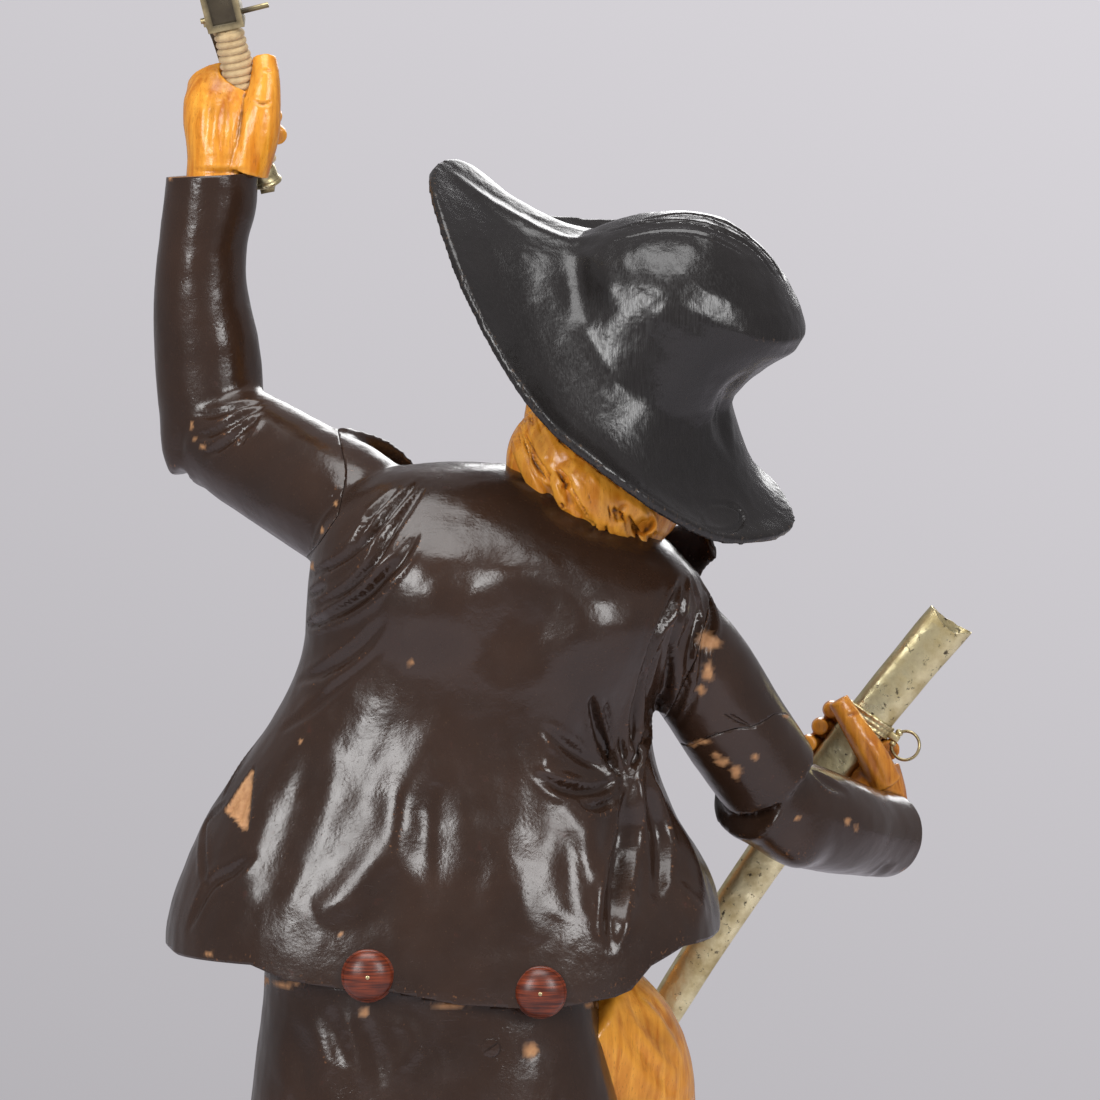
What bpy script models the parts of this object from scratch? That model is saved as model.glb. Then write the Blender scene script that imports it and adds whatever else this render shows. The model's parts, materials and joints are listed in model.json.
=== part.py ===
"""Carved freedom fighter: a figure built up from dark, honey and red woods, with a metal sabre and scabbard.

The man leans to his right, throws his head back and lifts the sabre in his left hand. His right hand
holds the scabbard just below its band. He faces -Y and stands on a low base, whose underside is at z = 0.

The pose, the proportions and the carving are laid out in carver's millimetres, of which the figure is 700
high, with x towards his left, y towards his back and z up from the top of the base.
"""

import math

import bmesh
import bpy
import numpy as np
from mathutils import Matrix, Vector
from mathutils.bvhtree import BVHTree

# Driving dimensions, in metres
FIGURE_HEIGHT = 0.700  # the man's height from sole to crown, were he to stand straight
BASE_WIDTH = 0.300
BASE_DEPTH = 0.280
BASE_HEIGHT = 0.028
BASE_CHAMFER = 0.005
FIT_GAP = 0.0003  # between two pieces that meet

BUTTON_DIAMETER = 0.021
BUTTON_DOME = 0.0055
BUTTON_RIM = 0.0018

GRIP_LENGTH = 0.062
GRIP_DIAMETER = 0.0144  # over the cord
POMMEL_DIAMETER = 0.0112
POMMEL_LENGTH = 0.0080
GUARD_LENGTH = 0.020
GUARD_WIDTH = 0.0150
GUARD_THICKNESS = 0.0105
GUARD_STRAP = 0.0026
QUILLON_REACH = 0.011
QUILLON_DIAMETER = 0.0024
BOW_WIDTH = 0.0056
BOW_THICKNESS = 0.0022
BOW_REACH = 0.025  # how far the knuckle bow stands off the grip's axis
BLADE_LENGTH = 0.255
BLADE_WIDTH = 0.0115
BLADE_THICKNESS = 0.0034
BLADE_SAG = 0.010  # how far the middle of the curved blade stands off a straight line

SCABBARD_LENGTH = 0.304
SCABBARD_WIDTH = 0.0205
SCABBARD_THICKNESS = 0.0100
SCABBARD_WALL = 0.0011
SCABBARD_MOUTH_DEPTH = 0.030
SCABBARD_SAG = 0.0097
SCABBARD_TAPER = 0.60  # width at the tip over width at the mouth
BAND_LENGTH = 0.0058
BAND_THICKNESS = 0.0015
BAND_FROM_MOUTH = 0.054
RING_DIAMETER = 0.0120  # to the middle of the wire
RING_WIRE = 0.0013
LUG_LENGTH = 0.0042
LUG_REACH = 0.0027  # from the band's skin to the middle of its bore

CARVER_HEIGHT = 700.0
UNIT = FIGURE_HEIGHT / CARVER_HEIGHT
FIGURE_BACK = 30.0  # the figure stands this far behind the middle of the base, in carver's millimetres
TO_WORLD = Matrix.Translation((0, FIGURE_BACK * UNIT, BASE_HEIGHT)) @ Matrix.Scale(UNIT, 4)

# Size of the cells that each carved form is fused in, in carver's millimetres, how often its skin is
# smoothed, and how many triangles it keeps before it is cut to its neighbours
FORMS = {
    "jacket": (2.2, 5, 2020),
    "shirt": (3.0, 3, 300),
    "hat": (1.9, 3, 700),
    "head": (1.5, 2, 1040),
    "hand": (1.1, 2, 360),
    "breeches": (2.4, 4, 460),
    "tails": (2.6, 3, 320),
    "shoe": (1.8, 3, 140),
    "stocking": (2.0, 2, 130),
    "rock": (4.0, 2, 200),
}

COLOURS = {
    "dark_wood": ((0.030, 0.021, 0.015), 0.28, 0.0),
    "black_wood": ((0.022, 0.021, 0.021), 0.30, 0.0),
    "light_wood": ((0.56, 0.27, 0.075), 0.35, 0.0),
    "red_wood": ((0.22, 0.050, 0.020), 0.25, 0.0),
    "brass": ((0.55, 0.43, 0.16), 0.35, 1.0),
    "steel": ((0.42, 0.40, 0.36), 0.35, 1.0),
    "cord": ((0.50, 0.36, 0.18), 0.9, 0.0),
}


def frame_at(origin, across, back, up):
    """A frame whose x, y and z run along the three directions."""
    turn = Matrix([Vector(v).normalized() for v in (across, back, up)]).transposed()
    return Matrix.Translation(Vector(origin)) @ turn.to_4x4()


# Frames of the head, the hat, the sword and the scabbard, in carver's millimetres
HEAD_CENTRE = Vector((-60, -6, 629))
HEAD_UP = Vector((-0.485, 0.242, 0.842)).normalized()
HEAD_LOOK = Vector((0.499, -0.713, 0.493)).normalized()
HEAD = frame_at(HEAD_CENTRE, HEAD_UP.cross(HEAD_LOOK), -HEAD_LOOK, HEAD_UP)
HAT_LEFT = Vector((0.867, 0.0, 0.5)).normalized()
HAT = frame_at(HEAD_CENTRE, HAT_LEFT, HEAD_UP.cross(HAT_LEFT), HEAD_UP)

GRIP_AXIS = Vector((0.21, 0.33, 0.905)).normalized()
GRIP_PALM = (Vector((1, 0, 0)) - GRIP_AXIS * GRIP_AXIS.x).normalized()
GRIP = frame_at((90, -68, 743), GRIP_PALM, GRIP_AXIS.cross(GRIP_PALM), GRIP_AXIS)
GRIP_BELOW_HOLD = 21.0
SCABBARD_AXIS = Vector((-0.552, 0.0, 0.834)).normalized()
SCABBARD_PALM = Vector((-0.834, 0.0, -0.552)).normalized()
SCABBARD = frame_at((-154, -112, 481), -SCABBARD_PALM, SCABBARD_AXIS.cross(-SCABBARD_PALM), SCABBARD_AXIS)
SCABBARD_ABOVE_HOLD = 70.0


# Scene and materials


def clear_scene():
    for obj in list(bpy.data.objects):
        bpy.data.objects.remove(obj)


def material(name):
    found = bpy.data.materials.get(name)
    if found:
        return found
    colour, roughness, metallic = COLOURS[name]
    made = bpy.data.materials.new(name)
    made.use_nodes = True
    shader = made.node_tree.nodes["Principled BSDF"]
    shader.inputs["Base Color"].default_value = (*colour, 1)
    shader.inputs["Roughness"].default_value = roughness
    shader.inputs["Metallic"].default_value = metallic
    return made


def new_object(name, mesh):
    obj = bpy.data.objects.new(name, mesh)
    bpy.context.scene.collection.objects.link(obj)
    return obj


def mesh_of(bm, name="form"):
    mesh = bpy.data.meshes.new(name)
    bm.to_mesh(mesh)
    bm.free()
    return mesh


def evaluated(obj):
    """The object's mesh with its modifiers applied, as a new mesh."""
    bpy.context.view_layer.update()
    graph = bpy.context.evaluated_depsgraph_get()
    return bpy.data.meshes.new_from_object(obj.evaluated_get(graph))


# Lofts


def smooth_rows(rows, steps):
    """Rows of numbers with steps - 1 more rows between each two, on a Catmull-Rom curve."""
    rows = np.array(rows, float)
    padded = np.vstack([2 * rows[0] - rows[1], rows, 2 * rows[-1] - rows[-2]])
    out = []
    for i in range(len(rows) - 1):
        a, b, c, d = padded[i : i + 4]
        for k in range(steps):
            t = k / steps
            bend = (2 * a - 5 * b + 4 * c - d) * t**2 + (3 * b - a - 3 * c + d) * t**3
            out.append(0.5 * (2 * b + (c - a) * t + bend))
    out.append(rows[-1])
    return np.array(out)


def loft(rings):
    """A closed skin over rings of points, each as long as the first."""
    bm = bmesh.new()
    ring = bmesh.ops.create_circle(bm, cap_ends=True, segments=len(rings[0]), radius=1)["verts"]
    edges = list(bm.edges)
    for v, p in zip(ring, rings[0]):
        v.co = p
    for points in rings[1:]:
        grown_edges = bmesh.ops.extrude_edge_only(bm, edges=edges)["geom"]
        fresh = {g for g in grown_edges if isinstance(g, bmesh.types.BMVert)}
        edges = [
            g for g in grown_edges
            if isinstance(g, bmesh.types.BMEdge) and g.verts[0] in fresh and g.verts[1] in fresh
        ]
        ring = [next(e.other_vert(v) for e in v.link_edges if e.other_vert(v) in fresh) for v in ring]
        for v, p in zip(ring, points):
            v.co = p
    bmesh.ops.edgeloop_fill(bm, edges=edges)
    bmesh.ops.recalc_face_normals(bm, faces=bm.faces)
    return bm


def oval(centre, across, deep, sides, squareness=2.0):
    """Points round a superellipse with those two half-axes, as vectors."""
    points = []
    for k in range(sides):
        c, s = math.cos(math.tau * k / sides), math.sin(math.tau * k / sides)
        power = 2 / squareness
        wide = across * math.copysign(abs(c) ** power, c)
        points.append(centre + wide + deep * math.copysign(abs(s) ** power, s))
    return points


def stack(rows, sides=28, steps=3, squareness=2.2, frame=None):
    """A body of level rings. A row is x, y, z, half width, half depth and the ring's lean in degrees."""
    frame = frame or Matrix.Identity(4)
    rings = []
    for x, y, z, width, depth, lean in smooth_rows(rows, steps):
        tilt = math.radians(lean)
        across = Vector((math.cos(tilt), 0, math.sin(tilt))) * width
        ring = oval(Vector((x, y, z)), across, Vector((0, depth, 0)), sides, squareness)
        rings.append([frame @ p for p in ring])
    return loft(rings)


def limb(rows, side=(0, 1, 0), sides=16, steps=4, squareness=2.0, frame=None):
    """A tube along a path. A row is x, y, z and the half-axes square to side and along it."""
    frame = frame or Matrix.Identity(4)
    rows = smooth_rows(rows, steps)
    points = [Vector(r[:3]) for r in rows]
    rings = []
    for i, row in enumerate(rows):
        ahead = (points[min(i + 1, len(rows) - 1)] - points[max(i - 1, 0)]).normalized()
        across = ahead.cross(Vector(side)).normalized()
        deep = across.cross(ahead).normalized()
        ring = oval(points[i], across * row[3], deep * row[4], sides, squareness)
        rings.append([frame @ p for p in ring])
    return loft(rings)


def ball(centre, radii, frame=None, fine=3):
    bm = bmesh.new()
    bmesh.ops.create_icosphere(bm, subdivisions=fine, radius=1)
    place = (frame or Matrix.Identity(4)) @ Matrix.Translation(Vector(centre))
    bmesh.ops.transform(bm, matrix=place @ Matrix.Diagonal((*radii, 1)), verts=bm.verts)
    return bm


def block(low, high, frame=None):
    """A box between two corners of a frame."""
    bm = bmesh.new()
    bmesh.ops.create_cube(bm, size=1)
    low, high = Vector(low), Vector(high)
    place = (frame or Matrix.Identity(4)) @ Matrix.Translation((low + high) / 2)
    bmesh.ops.transform(bm, matrix=place @ Matrix.Diagonal((*(high - low), 1)), verts=bm.verts)
    return bm


def rod(start, end, radius, sides=12):
    start, end = Vector(start), Vector(end)
    axis = end - start
    bm = bmesh.new()
    sizes = {"radius1": radius, "radius2": radius, "depth": axis.length}
    bmesh.ops.create_cone(bm, cap_ends=True, segments=sides, **sizes)
    turn = axis.to_track_quat("Z", "Y").to_matrix().to_4x4()
    bmesh.ops.transform(bm, matrix=Matrix.Translation((start + end) / 2) @ turn, verts=bm.verts)
    return bm


def in_world(bm, matrix=None):
    """A mesh in world metres from a shell in carver's millimetres, or in the frame of a matrix."""
    bmesh.ops.transform(bm, matrix=matrix or TO_WORLD, verts=bm.verts)
    return mesh_of(bm)


# Fusing, carving and thinning


class Form:
    """A fused body whose skin can be pulled, grooved and raised before it is thinned to few faces."""

    def __init__(self, kind, shells):
        voxel, soften, self.faces = FORMS[kind]
        bm = bmesh.new()
        for shell in shells:
            mesh = mesh_of(shell)
            bm.from_mesh(mesh)
            bpy.data.meshes.remove(mesh)
        obj = new_object("fusing", mesh_of(bm))
        remesh = obj.modifiers.new("Remesh", "REMESH")
        remesh.mode = "VOXEL"
        remesh.voxel_size = voxel
        smooth = obj.modifiers.new("Smooth", "SMOOTH")
        smooth.factor = 0.5
        smooth.iterations = soften
        self.mesh = evaluated(obj)
        bpy.data.objects.remove(obj)
        self.read()

    def read(self):
        count = len(self.mesh.vertices)
        self.points = np.empty(count * 3)
        self.mesh.vertices.foreach_get("co", self.points)
        self.points = self.points.reshape(-1, 3)
        self.normals = np.empty(count * 3)
        self.mesh.vertices.foreach_get("normal", self.normals)
        self.normals = self.normals.reshape(-1, 3)
        self.tree = BVHTree.FromPolygons(
            [tuple(p) for p in self.points], [tuple(f.vertices) for f in self.mesh.polygons]
        )

    def write(self):
        self.mesh.vertices.foreach_set("co", self.points.ravel())
        self.mesh.update()
        self.read()

    def grab(self, centre, reach, offset):
        """Pulls the skin round a point by an offset, fading to nothing at reach."""
        away = np.linalg.norm(self.points - np.array(centre, float), axis=1) / reach
        weight = np.clip(1 - away**2, 0, 1) ** 2
        self.points += weight[:, None] * np.array(offset, float)

    def seen(self, flat, view, frame=None, steps=5):
        """A smooth path on the skin under flat points, given as (x, z) as seen from the back or the front."""
        frame = frame or Matrix.Identity(4)
        aim = Vector((0, -1, 0)) if view == "back" else Vector((0, 1, 0))
        path = []
        for x, z in smooth_rows(flat, steps):
            start = Vector((x, 0, z)) - aim * 400
            hit = self.tree.ray_cast(frame @ start, frame.to_3x3() @ aim)[0]
            if hit is not None:
                path.append(tuple(hit))
        return path

    def stroke(self, path, width, depth, taper=0.6, shoulder=0.35):
        """Cuts a groove along a path, or raises a ridge where depth is negative."""
        path = np.array(path, float)
        nearest = np.full(len(self.points), 1e9)
        along = np.zeros(len(self.points))
        spans = len(path) - 1
        for i in range(spans):
            step = path[i + 1] - path[i]
            t = np.clip((self.points - path[i]) @ step / max(step @ step, 1e-9), 0, 1)
            away = np.linalg.norm(self.points - path[i] - t[:, None] * step, axis=1)
            closer = away < nearest
            nearest[closer] = away[closer]
            along[closer] = (i + t[closer]) / spans
        fade = np.clip(np.sin(np.pi * along), 0.02, 1) ** taper
        reach = width * (0.5 + 0.5 * fade)
        groove = np.exp(-((nearest / reach) ** 2))
        lips = np.exp(-(((nearest - 1.9 * reach) / (0.8 * reach)) ** 2))
        self.points -= (depth * fade * (groove - shoulder * lips))[:, None] * self.normals

    def fold(self, strokes, view="back", frame=None):
        """Cuts a table of grooves: flat points, half width and depth."""
        for flat, width, depth in strokes:
            path = self.seen(flat, view, frame)
            if len(path) > 1:
                self.stroke(path, width, depth)
        self.write()

    def thinned(self):
        """The form with its kind's number of triangles, as a mesh in world metres."""
        self.write()
        obj = new_object("thinning", self.mesh)
        obj.modifiers.new("Triangulate", "TRIANGULATE")
        decimate = obj.modifiers.new("Decimate", "DECIMATE")
        decimate.ratio = self.faces / (2 * len(self.mesh.polygons))
        mesh = evaluated(obj)
        bpy.data.objects.remove(obj)
        mesh.transform(TO_WORLD)
        return mesh


# Cuts between finished pieces, all in world metres


def grown(mesh, by=FIT_GAP):
    """A copy of a mesh with its skin moved out along its normals."""
    copy = mesh.copy()
    moved = [v.co + v.normal * by for v in copy.vertices]
    for v, co in zip(copy.vertices, moved):
        v.co = co
    return copy


def combined(mesh, tool, operation):
    obj = new_object("cutting", mesh)
    cutter = new_object("cutter", tool)
    cutter.hide_render = True
    cutter.display_type = "WIRE"
    boolean = obj.modifiers.new("Boolean", "BOOLEAN")
    boolean.operation = operation
    boolean.solver = "EXACT"
    boolean.object = cutter
    made = evaluated(obj)
    bpy.data.objects.remove(obj)
    bpy.data.objects.remove(cutter)
    return made


def without(mesh, *others):
    """The mesh less its neighbours, each grown by the gap."""
    for other in others:
        mesh = combined(mesh, grown(other), "DIFFERENCE")
    return mesh


def largest_body(mesh):
    """The mesh without the crumbs that a cut may leave."""
    bm = bmesh.new()
    bm.from_mesh(mesh)
    left = set(bm.verts)
    bodies = []
    while left:
        body = {left.pop()}
        front = list(body)
        while front:
            for e in front.pop().link_edges:
                for v in e.verts:
                    if v in left:
                        left.discard(v)
                        body.add(v)
                        front.append(v)
        bodies.append(body)
    bodies.sort(key=len)
    crumbs = [v for body in bodies[:-1] for v in body]
    bmesh.ops.delete(bm, geom=crumbs, context="VERTS")
    return mesh_of(bm)


def prism(outline, low=-400, high=400):
    """A block whose outline in x and z is a list of carver's points, from y = low to y = high."""
    bm = bmesh.new()
    verts = [bm.verts.new((x, low, z)) for x, z in outline]
    face = bm.faces.new(verts)
    out = bmesh.ops.extrude_face_region(bm, geom=[face])["geom"]
    moved = [g for g in out if isinstance(g, bmesh.types.BMVert)]
    bmesh.ops.translate(bm, verts=moved, vec=(0, high - low, 0))
    bmesh.ops.recalc_face_normals(bm, faces=bm.faces)
    return in_world(bm)


def piece(name, mesh, finish, sharp=50):
    obj = new_object(name, largest_body(mesh))
    obj.data.materials.clear()
    obj.data.materials.append(material(finish))
    obj.data.shade_smooth()
    obj.data.set_sharp_from_angle(angle=math.radians(sharp))
    return obj


# The jacket and its sleeves, fused as one form and parted at the armholes

JACKET_ROWS = (
    (11, 2, 372, 109, 68, 0),
    (11, 2, 400, 109, 70, 0),
    (11, 1, 424, 109, 69, 0),
    (10, 1, 450, 102, 64, 1),
    (8.5, 2, 474, 89.5, 58, 3),
    (3, 2, 497, 77, 55, 5),
    (-2.8, 3, 520, 71, 54, 8),
    (-9, 4, 545, 75, 56, 11),
    (-16, 4, 566, 78, 53, 15),
    (-26, 2, 581, 70, 44, 18),
    (-35, 0, 590, 50, 34, 20),
    (-42, 0, 596, 28, 24, 22),
)
LEFT_UPPER_ARM = (
    (34, -2, 578, 25, 27), (50.5, -12, 589, 26, 26), (68, -28, 598, 25, 24),
    (87, -45, 608, 24, 22.5), (101, -58, 615.5, 22.5, 21),
)
LEFT_FOREARM = (
    (103, -60, 604, 18, 18), (105.5, -62, 620, 21, 21), (107.3, -62, 646, 21.8, 21),
    (110, -61, 672, 19.3, 20), (109, -60, 693, 18, 18.5), (106, -60, 710, 19, 18.6),
    (105, -60, 728, 18.4, 18.4),
)
RIGHT_UPPER_ARM = (
    (-70, 0, 552, 24, 26), (-80, -2, 536, 23, 25), (-92, -8, 522, 22.5, 24),
    (-107, -17, 498, 22, 23), (-121, -27, 477, 21.5, 22),
)
RIGHT_FOREARM = (
    (-113, -24, 472, 20.5, 21), (-127, -38, 464, 21.5, 22), (-146, -62, 456, 20.5, 21),
    (-160, -86, 450, 18.5, 18.5), (-176, -113, 445, 17.5, 17.5),
)
# The flat ends of the cuffs: a point on each and the direction that the sleeve looks
LEFT_CUFF = ((105, -60, 720.5), (0.05, 0.0, 1.0))
RIGHT_CUFF = ((-172, -103, 445), (-0.53, -0.84, -0.16))
# Armhole outlines, as x and z seen from the back: each block holds one whole sleeve
LEFT_ARMHOLE = (
    (56, 628), (49, 604), (52, 588), (60, 576), (68, 566), (90, 530), (190, 530), (190, 800), (56, 800),
)
RIGHT_ARMHOLE = (
    (-104, 590), (-98, 560), (-90, 530), (-80, 508), (-74, 496), (-80, 484), (-88, 472), (-100, 452),
    (-112, 425), (-300, 400), (-300, 640),
)
# The hem, as x and z seen from the back, from the left corner to the right one
HEM = (
    (150, 415), (121, 414), (116, 412.3), (86, 412), (72, 406.7), (50, 404), (29.5, 403), (4, 398),
    (-18.7, 396.5), (-38.3, 396.7), (-57.6, 399.6), (-64, 402), (-72, 411), (-85, 417.4), (-99.6, 418.4),
    (-150, 419),
)
# The jacket stands open in front, where the shirt shows: x and z, narrow at the throat
FRONT_OPENING = (
    (-26, 605), (-52, 596), (-40, 545), (-50, 470), (-62, 340), (46, 340), (34, 470), (4, 545),
)
OPENING_BACK = -26
LAPELS = (
    ((52, -22, 611, 6, 2), (36, -38, 598, 9, 3), (22, -50, 576, 15, 3), (10, -56, 552, 12, 3),
     (-2, -58, 528, 4, 2.5)),
    ((-97, -22, 575, 8, 2), (-84, -38, 566, 14, 3), (-70, -50, 548, 16, 3), (-56, -56, 530, 12, 3),
     (-44, -58, 516, 4, 2.5)),
)
SHIRT_ROWS = (
    (-6, -4, 380, 56, 52, 0),
    (-6, -4, 410, 58, 54, 0),
    (-6, -2, 450, 56, 52, 2),
    (-8, 0, 490, 54, 50, 4),
    (-14, 2, 530, 54, 50, 8),
    (-22, 2, 560, 52, 46, 12),
    (-32, 0, 584, 44, 36, 18),
    (-40, -2, 598, 26, 24, 22),
)

# Grooves seen from the back: points (x, z), half width and depth, in carver's millimetres
LEFT_SHOULDER_FOLDS = (
    (((24, 602), (40, 588), (52, 570), (66, 556)), 3.2, 4.2),
    (((18, 598), (34, 582), (48, 562), (67, 546)), 3.0, 4.0),
    (((10, 592), (28, 572), (46, 552), (68, 536)), 3.2, 3.6),
    (((4, 580), (22, 560), (44, 540), (70, 524)), 3.4, 3.2),
    (((24, 548), (44, 526), (64, 514), (82, 500)), 3.6, 2.2),
)
RIGHT_SHOULDER_FOLDS = (
    (((-78, 566), (-72, 545), (-66, 524), (-62, 500)), 3.0, 4.0),
    (((-84, 564), (-80, 540), (-74, 516), (-70, 494)), 3.0, 4.2),
    (((-90, 558), (-87, 538), (-82, 518), (-76, 500)), 2.6, 3.2),
    (((-68, 548), (-64, 528), (-62, 508), (-64, 488)), 2.6, 3.0),
)
WAIST_FOLDS = (
    (((-24, 484), (-38, 478), (-52, 480), (-64, 484)), 4.0, 4.0),
    (((-46, 516), (-50, 502), (-56, 490), (-63, 482)), 3.2, 3.4),
    (((-56, 512), (-58, 500), (-62, 490)), 2.6, 2.6),
    (((-30, 500), (-44, 490), (-60, 484)), 3.4, 2.6),
    (((-66, 482), (-64, 462), (-66, 440), (-70, 420)), 5.0, 5.0),
    (((-2, 492), (-16, 470), (-30, 440), (-36, 410)), 8.0, 4.0),
    (((28, 488), (26, 462), (22, 436), (20, 408)), 9.0, 4.0),
    (((62, 470), (66, 446), (62, 420)), 8.0, 3.0),
    (((84, 492), (100, 468), (108, 440), (104, 412)), 4.0, 3.4),
    (((92, 496), (84, 474), (82, 452)), 4.0, 2.4),
)
ELBOW_FOLDS = (
    (((82, 634), (94, 628), (104, 620)), 2.4, 2.8),
    (((80, 628), (92, 620), (104, 610)), 2.4, 3.0),
    (((82, 620), (90, 612), (98, 604)), 2.4, 2.4),
)
BACK_RIDGES = (
    (((10, 502), (12, 474), (26, 444), (46, 424)), 9.0, -4.5),
    (((-18, 484), (-26, 456), (-34, 424)), 8.0, -3.5),
    (((4, 480), (0, 452), (-4, 420)), 7.0, -2.5),
)
# Large pulls on the jacket's skin: a point, how far it reaches and the offset
JACKET_PULLS = (
    ((118, -6, 414), 40, (2, -4, 0)), ((-96, -30, 424), 44, (-5, -10, 4)), ((-68, 34, 450), 34, (12, -9, 0)),
    ((18, 58, 560), 36, (0, 5, 0)), ((-60, 56, 540), 34, (0, 5, 0)), ((-20, 60, 545), 26, (0, -4, 0)),
    ((-58, 46, 492), 30, (5, -9, 0)), ((121, -64, 604), 22, (2, 0, -3)), ((84, -60, 618), 14, (3, 0, -3)),
    ((-130, -28, 448), 20, (-2, 4, -3)), ((93, 0, 474), 12, (-5, -1, 0)),
)


def beyond(point, direction, size=60):
    """A box on the far side of a plane."""
    turn = Vector(direction).to_track_quat("Z", "Y").to_matrix().to_4x4()
    return in_world(block((-size, -size, 0), (size, size, size), Matrix.Translation(Vector(point)) @ turn))


def jacket_and_sleeves():
    arms = [limb(rows) for rows in (LEFT_UPPER_ARM, LEFT_FOREARM, RIGHT_UPPER_ARM, RIGHT_FOREARM)]
    lapels = [limb(rows, side=(0.1, 1, 0.2), sides=12) for rows in LAPELS]
    form = Form("jacket", [stack(JACKET_ROWS, squareness=2.35), *arms, *lapels])
    for pull in JACKET_PULLS:
        form.grab(*pull)
    form.write()
    for folds in (LEFT_SHOULDER_FOLDS, RIGHT_SHOULDER_FOLDS, WAIST_FOLDS, ELBOW_FOLDS, BACK_RIDGES):
        form.fold(folds)
    cloth = form.thinned()
    below_hem = prism((*HEM, (-150, 300), (150, 300)))
    for cutter in (below_hem, beyond(*LEFT_CUFF), beyond(*RIGHT_CUFF)):
        cloth = combined(cloth, cutter, "DIFFERENCE")
    left, right = prism(LEFT_ARMHOLE), prism(RIGHT_ARMHOLE)
    sleeves = [combined(cloth, hole, "INTERSECT") for hole in (left, right)]
    torso = without(cloth, left, right)
    opening = prism(FRONT_OPENING, low=-200, high=OPENING_BACK)
    torso = combined(torso, grown(opening), "DIFFERENCE")
    shirt = Form("shirt", [stack(SHIRT_ROWS, sides=20)]).thinned()
    shirt = combined(shirt, opening, "INTERSECT")
    shirt = combined(shirt, below_hem, "DIFFERENCE")
    return torso, *sleeves, shirt


# The hat: rings in its own frame, x to its left peak, y to its back, z to its crown

# Angle in degrees from the left peak round by the back, reach from the head's axis and height of the rim
RIM = (
    (0, 112.5, 45.6), (18, 104, 37.6), (45, 88, 17), (70, 80, 2.5), (90, 78, -2), (120, 77, -9),
    (140, 80, -11), (160, 84, -6), (172, 84, -3), (186, 74, 0), (205, 56, 2), (220, 45, 17), (235, 50, 43),
    (250, 66, 59), (270, 78, 69), (285, 71, 66), (300, 71.7, 54.4), (330, 85.4, 41), (347, 106, 49),
)
# Angle and height of the line where the crown rises from the brim
CROWN_FOOT = (
    (0, 50), (25, 45), (50, 30), (80, 15), (120, 12), (165, 22), (200, 22), (235, 34), (270, 44), (320, 50),
)
# Height, then the crown's left and right reach and its half depth
CROWN = (
    (10, 56, 36, 54), (20, 54, 36, 51), (32, 52, 37, 48), (44, 50, 41, 46), (54, 47, 46.5, 45),
    (62, 42, 52, 43), (71, 33, 44, 38), (79, 22, 32, 28), (85, 11, 20, 16), (87.5, 2, 9, 5),
)
CROWN_RINGS = (0.12, 0.26, 0.40, 0.54, 0.66, 0.77, 0.87, 0.95, 1.0)
BRIM_THICKNESS = 5.2
BRIM_RINGS = (0.0, 0.2, 0.4, 0.6, 0.8, 1.0)
BRIM_HOLLOW = 3.0
# Shares of the crown's foot, and the height, of the underside that sits on the hair
HOLLOW_RINGS = (0.2, 0.6)
HOLLOW_TOP = 8.0
HAT_SIDES = 48
HAT_KNOT = ((-70, 30, -16), 9, (0, 0, -1.5))


def round_table(table, turn):
    """The values at an angle in degrees of a closed table whose first column is an angle."""
    laps = [(row[0] + lap, *row[1:]) for lap in (-360, 0, 360) for row in table]
    rows = smooth_rows(laps, 6)
    return [float(np.interp(turn, rows[:, 0], rows[:, k])) for k in range(1, rows.shape[1])]


def crown_point(turn, height):
    heights, *columns = zip(*CROWN)
    left, right, deep = [float(np.interp(height, heights, column)) for column in columns]
    across, back = math.cos(math.radians(turn)), math.sin(math.radians(turn))
    return Vector(((left if across > 0 else right) * across, deep * back, height))


def hat():
    turns = [360 * k / HAT_SIDES for k in range(HAT_SIDES)]
    feet = [crown_point(turn, round_table(CROWN_FOOT, turn)[0]) for turn in turns]
    rims = []
    for turn in turns:
        reach, height = round_table(RIM, turn)
        across, back = math.cos(math.radians(turn)), math.sin(math.radians(turn))
        rims.append(Vector((reach * across, reach * back, height)))
    sheet = []
    for share in BRIM_RINGS:
        row = []
        for foot, rim in zip(feet, rims):
            point = foot.lerp(rim, share)
            low = min(foot.z, rim.z)
            point.z = low + (foot.z - low) * (1 - share) ** 1.5 + (rim.z - low) * share**1.5
            point.z -= BRIM_HOLLOW * math.sin(math.pi * share)
            row.append(point)
        sheet.append(row)
    upper, under = [], []
    for j, row in enumerate(sheet):
        before, after = sheet[max(j - 1, 0)], sheet[min(j + 1, len(sheet) - 1)]
        above, below = [], []
        for k, point in enumerate(row):
            round_step = row[(k + 1) % HAT_SIDES] - row[k - 1]
            normal = (after[k] - before[k]).cross(round_step).normalized()
            half = BRIM_THICKNESS / 2 if 0 < j < len(sheet) - 1 else BRIM_THICKNESS / 4
            above.append(point + normal * half)
            below.append(point - normal * half)
        upper.append(above)
        under.append(below)
    middle = []
    for share in HOLLOW_RINGS:
        top = Vector((0, 0, HOLLOW_TOP * (1 - share**2)))
        middle.append([Vector((p.x * share, p.y * share, p.z * share**2)) + top for p in under[0]])
    crown = []
    for share in CROWN_RINGS:
        crown.append([crown_point(t, f.z + (CROWN[-1][0] - f.z) * share) for t, f in zip(turns, feet)])
    rings = [*middle, *under, *reversed(upper), *crown]
    form = Form("hat", [loft([[HAT @ p for p in ring] for ring in rings])])
    form.grab(*HAT_KNOT)
    return form.thinned()


# The head, in its own frame: x to the man's left, y to the back of his head, z to its crown

NECK = ((-52, 4, 600, 20, 21), (-44, 2, 580, 20, 21), (-36, 2, 562, 21, 22))
NOSE = ((0, -34, 9, 2.8, 3), (0, -38.5, 2, 3.2, 3.2), (0, -42.5, -6.5, 4, 3.8), (0, -38, -11, 4, 3))
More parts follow.
